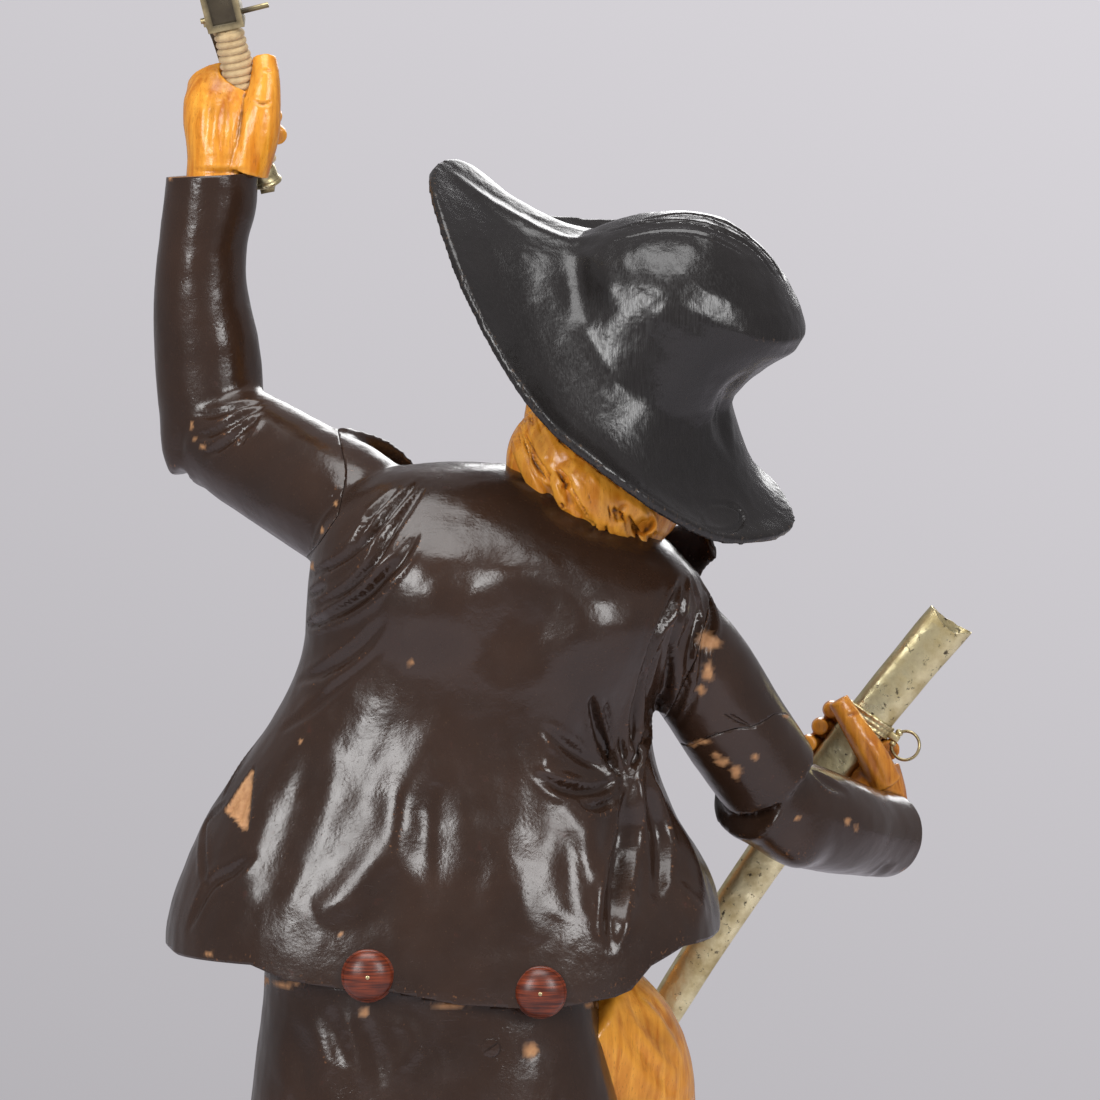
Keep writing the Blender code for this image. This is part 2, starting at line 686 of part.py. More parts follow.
# Centre and half-axes of each mass, and the same for the masses that both sides of the face share
HEAD_MASSES = (
    ((0, 4, 10), (32, 37, 34)), ((0, -10, -8), (27, 29, 36)), ((0, -25, -35), (13, 11, 9)),
    ((0, -35, -20.2), (8.4, 3.4, 2.2)), ((0, -34, -24.2), (7, 3.4, 2.4)),
)
SIDE_MASSES = (
    ((4.2, -36, -9.5), (3.2, 3.4, 2.8)), ((11, -29.6, 8.6), (9, 5, 3.4)), ((11, -29, 1), (6, 5.5, 4.6)),
    ((15, -28, -10), (8, 7, 7)),
)
HAIR_MASSES = (
    ((0, 16, -8), (36, 33, 33)), ((6, 28, -26), (32, 23, 20)), ((25, 10, -26), (16, 25, 22)),
    ((2, 34, -36), (22, 18, 14)),
)
LOCKS = (
    (((44, 634), (34, 618), (18, 606), (6, 594), (-8, 584)), 1.9, 3.2),
    (((46, 622), (32, 606), (22, 594), (8, 584), (0, 574)), 1.9, 3.2),
    (((40, 612), (28, 596), (20, 586), (6, 574)), 1.8, 3.0),
    (((30, 632), (18, 618), (4, 604), (-12, 594), (-26, 582)), 1.9, 3.2),
    (((16, 624), (2, 610), (-14, 598), (-30, 588), (-44, 578)), 1.9, 3.2),
    (((4, 618), (-12, 604), (-28, 592), (-44, 582), (-56, 574)), 1.9, 3.0),
    (((-8, 612), (-24, 598), (-40, 588), (-58, 582)), 1.8, 3.0),
)
FACE_GROOVES = (
    (((-17, 5), (-11, 7), (-5, 4)), 1.3, 1.2),
    (((5, 4), (11, 7), (17, 5)), 1.3, 1.2),
    (((-17, -2), (-11, -4), (-5, -2)), 1.3, 1.2),
    (((5, -2), (11, -4), (17, -2)), 1.3, 1.2),
    (((-8, -22), (-3, -21.6), (0, -22.2), (3, -21.6), (8, -22)), 1.1, 1.6),
    (((-7, -28), (0, -29), (7, -28)), 2.4, 1.6),
)


def head():
    shells = [ball(*mass, HEAD) for mass in (*HEAD_MASSES, *HAIR_MASSES)]
    for side in (-1, 1):
        shells += [ball((side * x, y, z), radii, HEAD) for (x, y, z), radii in SIDE_MASSES]
    shells += [limb(NOSE, side=(1, 0, 0), sides=10, frame=HEAD), limb(NECK)]
    form = Form("head", shells)
    form.fold(LOCKS)
    form.fold(FACE_GROOVES, "front", HEAD)
    return form.thinned()


# The hands, in the frames of what they hold: x towards the palm, z along the grip

LEFT_WRIST = ((103, -60, 716, 13, 12), (102, -60, 728, 13.5, 12), (101, -62, 740, 16, 13),
              (101, -66, 752, 16, 12), (103, -72, 760, 13, 10))
LEFT_THUMB = ((92, -57, 722, 10, 10), (87, -56, 738, 9.5, 9), (84.5, -56, 750, 7.5, 7.5),
              (83.5, -57, 760, 6, 6), (84, -60, 768, 5, 5))
LEFT_PALM = ((9, 0, -4), (8, 11, 19))
LEFT_FINGERS = {"first": 14.0, "palm": 14.0, "reach": 12.5, "tip": -3.5, "radius": 4.4, "wrap": 0.64}
RIGHT_WRIST = ((-170, -108, 448, 11, 11), (-169, -111, 462, 11, 11), (-167, -112, 474, 10, 12))
RIGHT_THUMB = ((-171, -104, 468, 7, 7), (-165, -101, 480, 6.4, 6), (-157, -99.5, 493, 5.2, 5),
               (-151, -99.5, 503, 4.4, 4.2))
RIGHT_PALM = ((15, 1, -7), (7, 11, 15))
RIGHT_FINGERS = {"first": 11.0, "palm": 15.0, "reach": 11.0, "tip": 2.0, "radius": 4.2, "wrap": 0.92}
FINGER_STEP = 8.4
FINGER_SHARES = (1.0, 1.06, 1.0, 0.86)
FINGER_SIZES = (1.1, 1.12, 1.0, 1.05, 0.95, 0.78)


def fingers(frame, first, palm, reach, tip, radius, wrap):
    """Four fingers round the far side of a grip, from the palm's side to tips on the other."""
    shells = []
    for n, share in enumerate(FINGER_SHARES):
        z = first - n * FINGER_STEP
        path = (
            (palm * 1.05, 0, z - 1), (palm * 0.9, -0.55 * reach, z), (palm * 0.35, -reach, z),
            (-palm * 0.35, -reach * share, z), (-palm * 0.93 * wrap, -0.5 * reach, z), (-palm * wrap, tip, z),
        )
        rows = [(*p, radius * s, radius * s) for p, s in zip(path, FINGER_SIZES)]
        shells.append(limb(rows, side=(0, 0, 1), sides=10, steps=3, frame=frame))
    return shells


def hand(frame, wrist, thumb, palm, digits):
    shells = [limb(wrist), limb(thumb, sides=12), ball(*palm, frame), *fingers(frame, **digits)]
    for shell in shells:
        bmesh.ops.recalc_face_normals(shell, faces=shell.faces)
    return Form("hand", shells).thinned()


# Breeches, stockings and shoes

PELVIS = (
    (14, 0, 408, 62, 42, 0), (14, 0, 394, 64, 44, 0), (12, 0, 372, 68, 46, 0), (8, 0, 350, 66, 46, 0),
    (6, -4, 328, 56, 40, 0), (4, -6, 316, 44, 30, 0),
)
LEFT_THIGH = ((44, 2, 376, 38, 42), (52, 2, 330, 38, 40), (57, -2, 272, 33, 34), (59, -4, 228, 26, 27),
              (59, -5, 212, 21, 22), (59, -5, 204, 21, 22))
RIGHT_THIGH = ((-28, 0, 386, 36, 40), (-46, -18, 360, 43, 40), (-56, -42, 315, 36, 37),
               (-66, -62, 270, 30, 31), (-71, -72, 238, 26, 27), (-72, -73, 218, 21, 22),
               (-72, -73, 209, 21, 22))
LEFT_STOCKING = ((59, -5, 222, 17, 18), (59, -3, 190, 18, 20), (60, 6, 150, 19, 22), (62, 13, 100, 14.5, 17),
                 (64, 17, 60, 11.5, 13), (65, 19, 24, 12, 14))
RIGHT_STOCKING = ((-72, -74, 228, 17, 18), (-72, -74, 200, 18, 20), (-72, -67, 175, 19, 22),
                  (-71, -63, 145, 15, 17.5), (-70, -62, 114, 11.5, 13), (-70, -62, 80, 12, 14))
SHOE = ((0, 26, 12, 8, 13), (0, 17, 15, 14, 20), (0, 2, 17, 16, 25), (0, -20, 14, 17, 19),
        (0, -42, 10, 18, 14), (0, -60, 8, 15, 11), (0, -70, 7, 8, 8))
SHOE_HEEL = ((0, 27, 8, 9, 12), (0, 12, 8, 14, 12), (0, -4, 8, 14, 12))
LEFT_ANKLE = (Vector((65, 19, 0)), math.radians(12))
RIGHT_ANKLE = (Vector((-70, -62, 56)), math.radians(-10))
BREECHES_FOLDS = (
    (((-56, 392), (-66, 374), (-78, 358)), 3.0, 3.6),
    (((-62, 390), (-76, 374), (-86, 364)), 2.6, 2.6),
    (((-54, 382), (-62, 360), (-74, 344)), 3.0, 3.2),
    (((-62, 330), (-78, 336), (-92, 348)), 4.0, 4.0),
    (((-44, 320), (-60, 290), (-72, 262)), 4.0, 3.0),
    (((-80, 300), (-84, 276), (-82, 250)), 3.6, 2.6),
    (((84, 330), (78, 290), (74, 240)), 4.0, 3.0),
    (((58, 320), (60, 280), (62, 236)), 4.0, 3.0),
    (((40, 300), (46, 260), (50, 232)), 3.6, 2.6),
)
FRONT_FOLDS = (
    (((-22, 372), (-34, 352), (-52, 334)), 4.0, 2.0),
    (((40, 366), (48, 330), (54, 290)), 4.0, 2.0),
    (((60, 330), (66, 290), (66, 240)), 4.0, 3.0),
    (((-50, 300), (-62, 274), (-70, 246)), 4.0, 3.0),
)


def breeches():
    form = Form("breeches", [stack(PELVIS), limb(LEFT_THIGH), limb(RIGHT_THIGH)])
    form.fold(BREECHES_FOLDS)
    form.fold(FRONT_FOLDS, "front")
    return form.thinned()


def shoe(ankle, turn):
    place = Matrix.Translation(ankle) @ Matrix.Rotation(turn, 4, "Z")
    heel = limb(SHOE_HEEL, side=(0, 0, 1), squareness=3.0, frame=place)
    return Form("shoe", [limb(SHOE, side=(0, 0, 1), frame=place), heel]).thinned()


def stocking(rows):
    return Form("stocking", [limb(rows)]).thinned()


# The tails of the coat, hung behind the breeches below the seam

TAIL_ROWS = (
    (15.6, 6, 407, 67.0, 60, 0),
    (15.6, 6, 392, 67.5, 60, 0),
    (14, 6, 352, 74, 62, 0),
    (12, 6, 310, 79, 64, 0),
    (10, 6, 262, 84, 68, 0),
    (10, 6, 238, 86, 70, 0),
)
TAIL_FRONT = 16.0  # the tails reach round to this y
TAIL_VENT = ((11, 320), (14, 318), (17, 225), (8, 225))
TAIL_HEM = ((140, 262), (70, 250), (14, 244), (-40, 250), (-120, 264), (-120, 200), (140, 200))
TAIL_FOLDS = (
    (((50, 392), (44, 376), (36, 366)), 3.0, 2.0),
    (((56, 392), (56, 376), (52, 360)), 3.0, 1.6),
    (((70, 380), (76, 330), (80, 270)), 5.0, 3.4),
    (((-36, 386), (-44, 340), (-50, 270)), 5.0, 3.4),
    (((34, 340), (38, 300), (42, 250)), 5.0, 2.6),
    (((-10, 330), (-14, 290), (-20, 250)), 5.0, 2.6),
)


def coat_tails():
    form = Form("tails", [stack(TAIL_ROWS, squareness=2.6)])
    form.fold(TAIL_FOLDS)
    mesh = form.thinned()
    mesh = combined(mesh, in_world(block((-200, -200, 0), (200, TAIL_FRONT, 500))), "DIFFERENCE")
    for outline in (TAIL_VENT, TAIL_HEM):
        mesh = combined(mesh, prism(outline), "DIFFERENCE")
    return mesh


# Base

ROCK_ROWS = (
    (-80, -96, -6, 46, 62, 0), (-80, -96, 12, 44, 60, 0), (-79, -96, 34, 39, 57, 0),
    (-79, -96, 50, 34, 54, 0), (-79, -96, 58, 29, 50, 0),
)
ROCK_TOP = 56.0
ROCK_FACETS = (
    (((-100, -6), (-110, 20), (-100, 50)), 8.0, 3.0),
    (((-60, 0), (-52, 26), (-58, 52)), 8.0, 3.0),
)


def base():
    slab = bmesh.new()
    bmesh.ops.create_cube(slab, size=1)
    size = (BASE_WIDTH, BASE_DEPTH, BASE_HEIGHT, 1)
    place = Matrix.Translation((0, 0, BASE_HEIGHT / 2)) @ Matrix.Diagonal(size)
    bmesh.ops.transform(slab, matrix=place, verts=slab.verts)
    top = [e for e in slab.edges if all(v.co.z > BASE_HEIGHT / 2 for v in e.verts)]
    bmesh.ops.bevel(slab, geom=top, offset=BASE_CHAMFER, segments=2, profile=0.5, affect="EDGES")
    form = Form("rock", [stack(ROCK_ROWS, squareness=2.6)])
    form.fold(ROCK_FACETS, "front")
    rock = form.thinned()
    rock = combined(rock, in_world(block((-200, -200, ROCK_TOP), (200, 200, 90))), "DIFFERENCE")
    return combined(mesh_of(slab), rock, "UNION")


# Buttons on the seam between jacket and tails

BUTTONS = {"button_left": (39.5, 409.3), "button_right": (-28.1, 402.6)}  # x and z
BUTTON_SINK = 1.2  # how far the back of a button lies under the proudest cloth, in carver's millimetres
# Rise over the dome's height, and share of the radius there
BUTTON_STEPS = ((0.0, 1.0), (0.35, 0.97), (0.7, 0.80), (0.9, 0.5), (1.0, 0.16))
BUTTON_SIDES = 14


def button(place, *cloths):
    """A turned dome with a rim at its back, laid on the proudest of the cloths under it."""
    x, z = place
    hits = []
    for cloth in cloths:
        faces = [tuple(f.vertices) for f in cloth.polygons]
        tree = BVHTree.FromPolygons([v.co for v in cloth.vertices], faces)
        for rise in (-4, 0, 4):
            hits.append(tree.ray_cast(TO_WORLD @ Vector((x, 300, z + rise)), Vector((0, -1, 0)))[0])
    proud = max(hit.y for hit in hits if hit is not None)
    centre = Vector(((TO_WORLD @ Vector((x, 0, z))).x, proud + BUTTON_RIM - BUTTON_SINK * UNIT, 0))
    centre.z = (TO_WORLD @ Vector((x, 0, z))).z
    rings = []
    for rise, share in ((-BUTTON_RIM / BUTTON_DOME, 1.0), *BUTTON_STEPS):
        wide = BUTTON_DIAMETER / 2 * share
        middle = centre + Vector((0, rise * BUTTON_DOME, 0))
        rings.append(oval(middle, Vector((wide, 0, 0)), Vector((0, 0, wide)), BUTTON_SIDES))
    return mesh_of(loft(rings))


# Sword, in metres along the grip's frame: z runs from the foot of the grip to the blade

GUARD_FOOT = GRIP_LENGTH + FIT_GAP
BLADE_FOOT = GUARD_FOOT + GUARD_LENGTH + FIT_GAP
BLADE_STEPS = 14
GRIP_SHAPE = ((0, 0.82), (0.2, 0.92), (0.6, 1.0), (0.88, 1.0), (1.0, 0.8))
POMMEL_SHAPE = ((0, 0.80), (0.15, 0.92), (0.65, 1.0), (0.72, 1.16), (0.9, 1.16), (1.0, 0.9))


def metal_frame(place, up):
    """The frame of a hold in metres, moved along its axis by some carver's millimetres."""
    return Matrix.Translation(TO_WORLD @ place @ Vector((0, 0, up))) @ place.to_3x3().to_4x4()


GRIP_METRES = metal_frame(GRIP, -GRIP_BELOW_HOLD)


def turned(shape, radius, foot, length, sides):
    """A round body on the z axis whose shape gives shares of its length and of its radius."""
    rings = []
    for along, share in shape:
        wide = radius * share
        centre = Vector((0, 0, foot + along * length))
        rings.append(oval(centre, Vector((wide, 0, 0)), Vector((0, wide, 0)), sides))
    return in_world(loft(rings), GRIP_METRES)


def guard():
    """The guard's box with two side straps, a bar across its foot, the quillon and the knuckle bow."""
    half_width, half_thick = GUARD_WIDTH / 2, GUARD_THICKNESS / 2
    panel = GUARD_STRAP / 2
    top = GUARD_FOOT + GUARD_LENGTH
    shells = [block((panel - half_width, panel - half_thick, GUARD_FOOT + panel),
                    (half_width - panel, half_thick - panel, top - panel))]
    for low, high in ((GUARD_FOOT, GUARD_FOOT + GUARD_STRAP), (top - GUARD_STRAP, top)):
        shells.append(block((-half_width, -half_thick, low), (half_width, half_thick, high)))
    for low, high in ((-half_width, GUARD_STRAP - half_width), (half_width - GUARD_STRAP, half_width)):
        shells.append(block((low, -half_thick, GUARD_FOOT + panel), (high, half_thick, top - panel)))
    pin = GUARD_FOOT + GUARD_STRAP * 1.6
    shells.append(rod((-half_width - QUILLON_REACH, 0, pin + QUILLON_DIAMETER / 2),
                      (half_width + QUILLON_DIAMETER, 0, pin), QUILLON_DIAMETER / 2, sides=8))
    shells.append(knuckle_bow())
    mesh = mesh_of(shells[0])
    for shell in shells[1:]:
        mesh = combined(mesh, mesh_of(shell), "UNION")
    mesh.transform(GRIP_METRES)
    return mesh


def knuckle_bow():
    """A flat strap from the guard's left round the knuckles to the end of the pommel."""
    top = GUARD_FOOT + GUARD_STRAP
    low = -POMMEL_LENGTH - 2 * FIT_GAP - BOW_THICKNESS / 2
    start = GUARD_WIDTH / 2 - BOW_THICKNESS / 2
    path = (
        (start, 0, top), (start * 1.1, -BOW_REACH * 0.35, top * 0.96),
        (start * 1.1, -BOW_REACH * 0.82, top * 0.80), (start, -BOW_REACH, top * 0.45),
        (start * 0.8, -BOW_REACH * 1.04, top * 0.12), (start * 0.4, -BOW_REACH * 0.75, low * 0.65),
        (0, -BOW_REACH * 0.3, low), (0, BOW_WIDTH / 2, low),
    )
    points = [Vector(p) for p in smooth_rows(path, 3)]
    rings = []
    for i, centre in enumerate(points):
        ahead = (points[min(i + 1, len(points) - 1)] - points[max(i - 1, 0)]).normalized()
        across = Vector((1, 0.15, 0))
        across = (across - ahead * across.dot(ahead)).normalized() * BOW_WIDTH / 2
        flat = ahead.cross(across).normalized() * BOW_THICKNESS / 2
        rings.append([centre + across * a + flat * b for a, b in ((-1, -1), (1, -1), (1, 1), (-1, 1))])
    return loft(rings)


def blade():
    """A curved sabre blade with a flat back and a drawn point."""
    rings = []
    for i in range(BLADE_STEPS + 1):
        t = i / BLADE_STEPS
        centre = Vector((0, BLADE_SAG * t * (3 - 4 * t), BLADE_FOOT + BLADE_LENGTH * t))
        width = BLADE_WIDTH / 2 * min(1, ((1 - t) * 9 + 0.05) ** 0.5)
        thick = BLADE_THICKNESS / 2 * (1 - 0.55 * t)
        outline = (
            (-thick, width), (-thick, width * 0.5), (0, -width), (thick, width * 0.5), (thick, width),
        )
        rings.append([centre + Vector((x, y, 0)) for x, y in outline])
    return in_world(loft(rings), GRIP_METRES)


# Scabbard, in metres along its own frame: z runs up to its mouth

SCABBARD_METRES = metal_frame(SCABBARD, SCABBARD_ABOVE_HOLD)
SCABBARD_STEPS = 6
HOLD_SHARE = SCABBARD_ABOVE_HOLD * UNIT / SCABBARD_LENGTH


def sag_at(share):
    return SCABBARD_SAG * 4 * share * (1 - share)


def scabbard_outline(down, grow=0.0):
    """The scabbard's outline at a distance below its mouth, moved out by grow."""
    along = down / SCABBARD_LENGTH
    share = 1 + (SCABBARD_TAPER - 1) * along
    centre = Vector((sag_at(along) - sag_at(HOLD_SHARE), 0, -down))
    across = Vector((SCABBARD_WIDTH / 2 * share + grow, 0, 0))
    deep = Vector((0, SCABBARD_THICKNESS / 2 * share + grow, 0))
    return oval(centre, across, deep, 14, 2.5)


def scabbard():
    rings = [scabbard_outline(SCABBARD_LENGTH * i / SCABBARD_STEPS) for i in range(SCABBARD_STEPS + 1)]
    rings.append(scabbard_outline(SCABBARD_LENGTH + SCABBARD_WIDTH / 4, -SCABBARD_THICKNESS / 4))
    tube = mesh_of(loft(rings))
    pocket = [scabbard_outline(down, -SCABBARD_WALL) for down in (-SCABBARD_WALL, SCABBARD_MOUTH_DEPTH)]
    tube = combined(tube, mesh_of(loft(pocket)), "DIFFERENCE")
    notch = ball((SCABBARD_WIDTH * 0.05, SCABBARD_THICKNESS / 2, 0),
                 (SCABBARD_WIDTH * 0.3, SCABBARD_THICKNESS * 0.3, SCABBARD_WIDTH * 0.3), fine=2)
    tube = combined(tube, mesh_of(notch), "DIFFERENCE")
    tube.transform(SCABBARD_METRES)
    return tube


RING_SPANS = 20
RING_SIDES = 6
LUG = Vector((-SCABBARD_WIDTH / 2 - BAND_THICKNESS - LUG_REACH, 0, -BAND_FROM_MOUTH))
LUG_BORE = RING_WIRE * 0.8 + FIT_GAP
LUG_WALL = 0.0008
RING_OUT = Vector((-0.92, 0.38, -0.05)).normalized()  # the way that the ring stands off its lug


def band():
    """A band round the scabbard with a lug on the palm's side, pierced along the scabbard."""
    half = BAND_LENGTH / 2
    edges = (BAND_FROM_MOUTH - half, BAND_FROM_MOUTH + half)
    outer = mesh_of(loft([scabbard_outline(down, FIT_GAP + BAND_THICKNESS) for down in edges]))
    bore = (edges[0] - half, edges[1] + half)
    inner = mesh_of(loft([scabbard_outline(down, FIT_GAP) for down in bore]))
    wide, tall = LUG_BORE + LUG_WALL, half * 0.55
    lug = block(LUG - Vector((LUG_LENGTH / 2, wide, tall)), LUG + Vector((LUG_LENGTH, wide, tall)))
    hole = rod(LUG - Vector((0, 0, half)), LUG + Vector((0, 0, half)), LUG_BORE)
    mesh = combined(outer, mesh_of(lug), "UNION")
    for tool in (inner, mesh_of(hole)):
        mesh = combined(mesh, tool, "DIFFERENCE")
    mesh.transform(SCABBARD_METRES)
    return mesh


def carrying_ring():
    """A wire ring through the lug, standing out from it."""
    along = (Vector((0, 0, 1)) - RING_OUT * RING_OUT.z).normalized()
    flat = RING_OUT.cross(along)
    middle = LUG + RING_OUT * RING_DIAMETER / 2
    bm = bmesh.new()
    rows = []
    for i in range(RING_SPANS):
        turn = math.tau * i / RING_SPANS
        spoke = RING_OUT * math.cos(turn) + along * math.sin(turn)
        centre = middle + spoke * RING_DIAMETER / 2
        ring = oval(centre, spoke * RING_WIRE / 2, flat * RING_WIRE / 2, RING_SIDES)
        rows.append([bm.verts.new(p) for p in ring])
    for here, there in zip(rows, rows[1:] + rows[:1]):
        for k in range(RING_SIDES):
            bm.faces.new((here[k - 1], here[k], there[k], there[k - 1]))
    bmesh.ops.recalc_face_normals(bm, faces=bm.faces)
    return in_world(bm, SCABBARD_METRES)


# Assembly


def build():
    clear_scene()
    metal = {
        "sword_grip": (turned(GRIP_SHAPE, GRIP_DIAMETER / 2, 0, GRIP_LENGTH, 14), "cord"),
        "sword_pommel": (turned(POMMEL_SHAPE, POMMEL_DIAMETER / 2, -FIT_GAP, -POMMEL_LENGTH, 16), "steel"),
        "sword_guard": (guard(), "steel"),
        "sword_blade": (blade(), "steel"),
        "scabbard": (scabbard(), "brass"),
        "scabbard_band": (band(), "brass"),
        "scabbard_ring": (carrying_ring(), "steel"),
    }
    ground = base()
    jacket, arm_left, arm_right, shirt = jacket_and_sleeves()
    cap = hat()
    skull = without(head(), cap, jacket, shirt)
    mirrored = SCABBARD @ Matrix.Diagonal((-1, 1, 1, 1))
    hand_left = hand(GRIP, LEFT_WRIST, LEFT_THUMB, LEFT_PALM, LEFT_FINGERS)
    hilt = [metal[f"sword_{name}"][0] for name in ("grip", "pommel", "guard")]
    hand_left = without(hand_left, *hilt, arm_left)
    hand_right = hand(mirrored, RIGHT_WRIST, RIGHT_THUMB, RIGHT_PALM, RIGHT_FINGERS)
    sheath = [metal[name][0] for name in ("scabbard", "scabbard_band", "scabbard_ring")]
    hand_right = without(hand_right, *sheath, arm_right)
    trousers = without(breeches(), jacket, shirt)
    tails = without(coat_tails(), jacket, trousers)
    for side, ankle, rows in (("left", LEFT_ANKLE, LEFT_STOCKING), ("right", RIGHT_ANKLE, RIGHT_STOCKING)):
        leg = without(stocking(rows), trousers)
        piece(f"leg_{side}", leg, "light_wood")
        piece(f"shoe_{side}", without(shoe(*ankle), ground, leg), "dark_wood")
    piece("base", ground, "dark_wood")
    piece("hat", cap, "black_wood")
    piece("head", skull, "light_wood")
    piece("jacket", jacket, "dark_wood")
    piece("arm_left", arm_left, "dark_wood")
    piece("arm_right", arm_right, "dark_wood")
    piece("shirt", shirt, "light_wood")
    piece("hand_left", hand_left, "light_wood")
    piece("hand_right", hand_right, "light_wood")
    piece("breeches", trousers, "light_wood")
    piece("coat_tails", tails, "dark_wood")
    for name, place in BUTTONS.items():
        piece(name, without(button(place, jacket, tails), jacket, tails), "red_wood")
    for name, (mesh, finish) in metal.items():
        piece(name, mesh, finish, sharp=40)


build()
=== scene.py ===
"""The finish of the carved freedom fighter: sculpted wood under lacquer, wound cord and aged metal.

The carving is laid out in carver's millimetres, as in the part: x to the man's left, y to his back and z up
from the top of the base. Grooves, cracks and chips that the photograph shows are placed by its pixels, on
whatever surface lies under them.
"""

import json
import math

import bmesh
import bpy
import numpy as np
from mathutils import Matrix, Vector, noise
from mathutils.bvhtree import BVHTree

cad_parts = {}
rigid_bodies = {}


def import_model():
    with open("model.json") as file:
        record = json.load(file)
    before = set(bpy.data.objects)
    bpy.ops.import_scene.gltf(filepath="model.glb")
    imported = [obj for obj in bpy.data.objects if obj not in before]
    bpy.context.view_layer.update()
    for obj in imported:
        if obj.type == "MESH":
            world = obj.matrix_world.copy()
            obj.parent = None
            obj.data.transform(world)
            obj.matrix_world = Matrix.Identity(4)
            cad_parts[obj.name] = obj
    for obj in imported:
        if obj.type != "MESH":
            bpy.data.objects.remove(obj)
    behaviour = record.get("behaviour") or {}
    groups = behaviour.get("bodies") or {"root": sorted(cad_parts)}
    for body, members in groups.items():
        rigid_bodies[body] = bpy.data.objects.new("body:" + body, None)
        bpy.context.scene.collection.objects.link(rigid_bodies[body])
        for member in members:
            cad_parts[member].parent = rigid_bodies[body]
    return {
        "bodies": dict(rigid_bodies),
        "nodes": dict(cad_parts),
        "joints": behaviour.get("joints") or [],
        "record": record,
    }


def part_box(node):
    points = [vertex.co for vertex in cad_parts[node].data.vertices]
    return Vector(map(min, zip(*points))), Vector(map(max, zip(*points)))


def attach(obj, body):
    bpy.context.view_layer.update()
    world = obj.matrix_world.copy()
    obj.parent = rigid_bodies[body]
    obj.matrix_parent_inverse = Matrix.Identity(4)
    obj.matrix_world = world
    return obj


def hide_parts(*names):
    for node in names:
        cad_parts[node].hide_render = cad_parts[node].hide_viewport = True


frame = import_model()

bl_info = {
    "name": "Carved Freedom Fighter",
    "version": (1, 0, 0),
    "blender": (4, 5, 0),
    "location": "View3D > Sidebar > Carving",
    "description": "Sculpts and finishes a carved wooden figure with a metal sabre",
    "category": "Add Mesh",
}

MM = 0.001
FIGURE_BACK = 30.0
BASE_LOW, BASE_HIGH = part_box("base")
BASE_HEIGHT = 0.028
TO_WORLD = Matrix.Translation((0, FIGURE_BACK * MM, BASE_HEIGHT)) @ Matrix.Scale(MM, 4)
JOINT_GAP = 0.0003  # between two blocks that meet

# The photograph's camera: it looks at the man's back from a little above
PHOTO_SIDE = 1100
PIXEL = 0.4  # carver's millimetres at the middle of the figure
VIEW_CENTRE = Vector((-32, 0, 572))
VIEW_DISTANCE = 3200.0
VIEW_RISE = math.radians(4)
VIEW_BACK = Vector((0, math.cos(VIEW_RISE), math.sin(VIEW_RISE)))
VIEW_UP = Vector((0, -math.sin(VIEW_RISE), math.cos(VIEW_RISE)))
VIEW_RIGHT = Vector((-1, 0, 0))
VIEW_EYE = VIEW_CENTRE + VIEW_BACK * VIEW_DISTANCE


def frame_at(origin, across, back, up):
    """A frame whose x, y and z run along the three directions."""
    turn = Matrix([Vector(v).normalized() for v in (across, back, up)]).transposed()
    return Matrix.Translation(Vector(origin)) @ turn.to_4x4()


# Frames of the head, the hat, the sword and the scabbard
HEAD_CENTRE = Vector((-60, -6, 629))
HEAD_UP = Vector((-0.485, 0.242, 0.842)).normalized()
HEAD_LOOK = Vector((0.499, -0.713, 0.493)).normalized()
HEAD = frame_at(HEAD_CENTRE, HEAD_UP.cross(HEAD_LOOK), -HEAD_LOOK, HEAD_UP)
HAT_LEFT = Vector((0.867, 0.0, 0.5)).normalized()
HAT = frame_at(HEAD_CENTRE, HAT_LEFT, HEAD_UP.cross(HAT_LEFT), HEAD_UP)
GRIP_AXIS = Vector((0.21, 0.33, 0.905)).normalized()
GRIP_PALM = (Vector((1, 0, 0)) - GRIP_AXIS * GRIP_AXIS.x).normalized()
GRIP = frame_at((90, -68, 743), GRIP_PALM, GRIP_AXIS.cross(GRIP_PALM), GRIP_AXIS)
GRIP_BELOW_HOLD = 21.0
SCABBARD_AXIS = Vector((-0.552, 0.0, 0.834)).normalized()
SCABBARD_PALM = Vector((-0.834, 0.0, -0.552)).normalized()
SCABBARD = frame_at((-154, -112, 481), -SCABBARD_PALM, SCABBARD_AXIS.cross(-SCABBARD_PALM), SCABBARD_AXIS)
SCABBARD_ABOVE_HOLD = 70.0


# Lofts

STACK_SIDES = 48
STACK_STEPS = 5


def mesh_of(bm, name="form"):
    mesh = bpy.data.meshes.new(name)
    bm.to_mesh(mesh)
    bm.free()
    return mesh


def new_object(name, mesh):
    obj = bpy.data.objects.new(name, mesh)
    bpy.context.scene.collection.objects.link(obj)
    return obj


def evaluated(obj):
    """The object's mesh with its modifiers applied, as a new mesh."""
    bpy.context.view_layer.update()
    graph = bpy.context.evaluated_depsgraph_get()
    return bpy.data.meshes.new_from_object(obj.evaluated_get(graph))


def smooth_rows(rows, steps):
    """Rows of numbers with steps - 1 more rows between each two, on a Catmull-Rom curve."""
    rows = np.array(rows, float)
    padded = np.vstack([2 * rows[0] - rows[1], rows, 2 * rows[-1] - rows[-2]])
    out = []
    for i in range(len(rows) - 1):
        a, b, c, d = padded[i : i + 4]
        for k in range(steps):
            t = k / steps
            bend = (2 * a - 5 * b + 4 * c - d) * t**2 + (3 * b - a - 3 * c + d) * t**3
            out.append(0.5 * (2 * b + (c - a) * t + bend))
    out.append(rows[-1])
    return np.array(out)


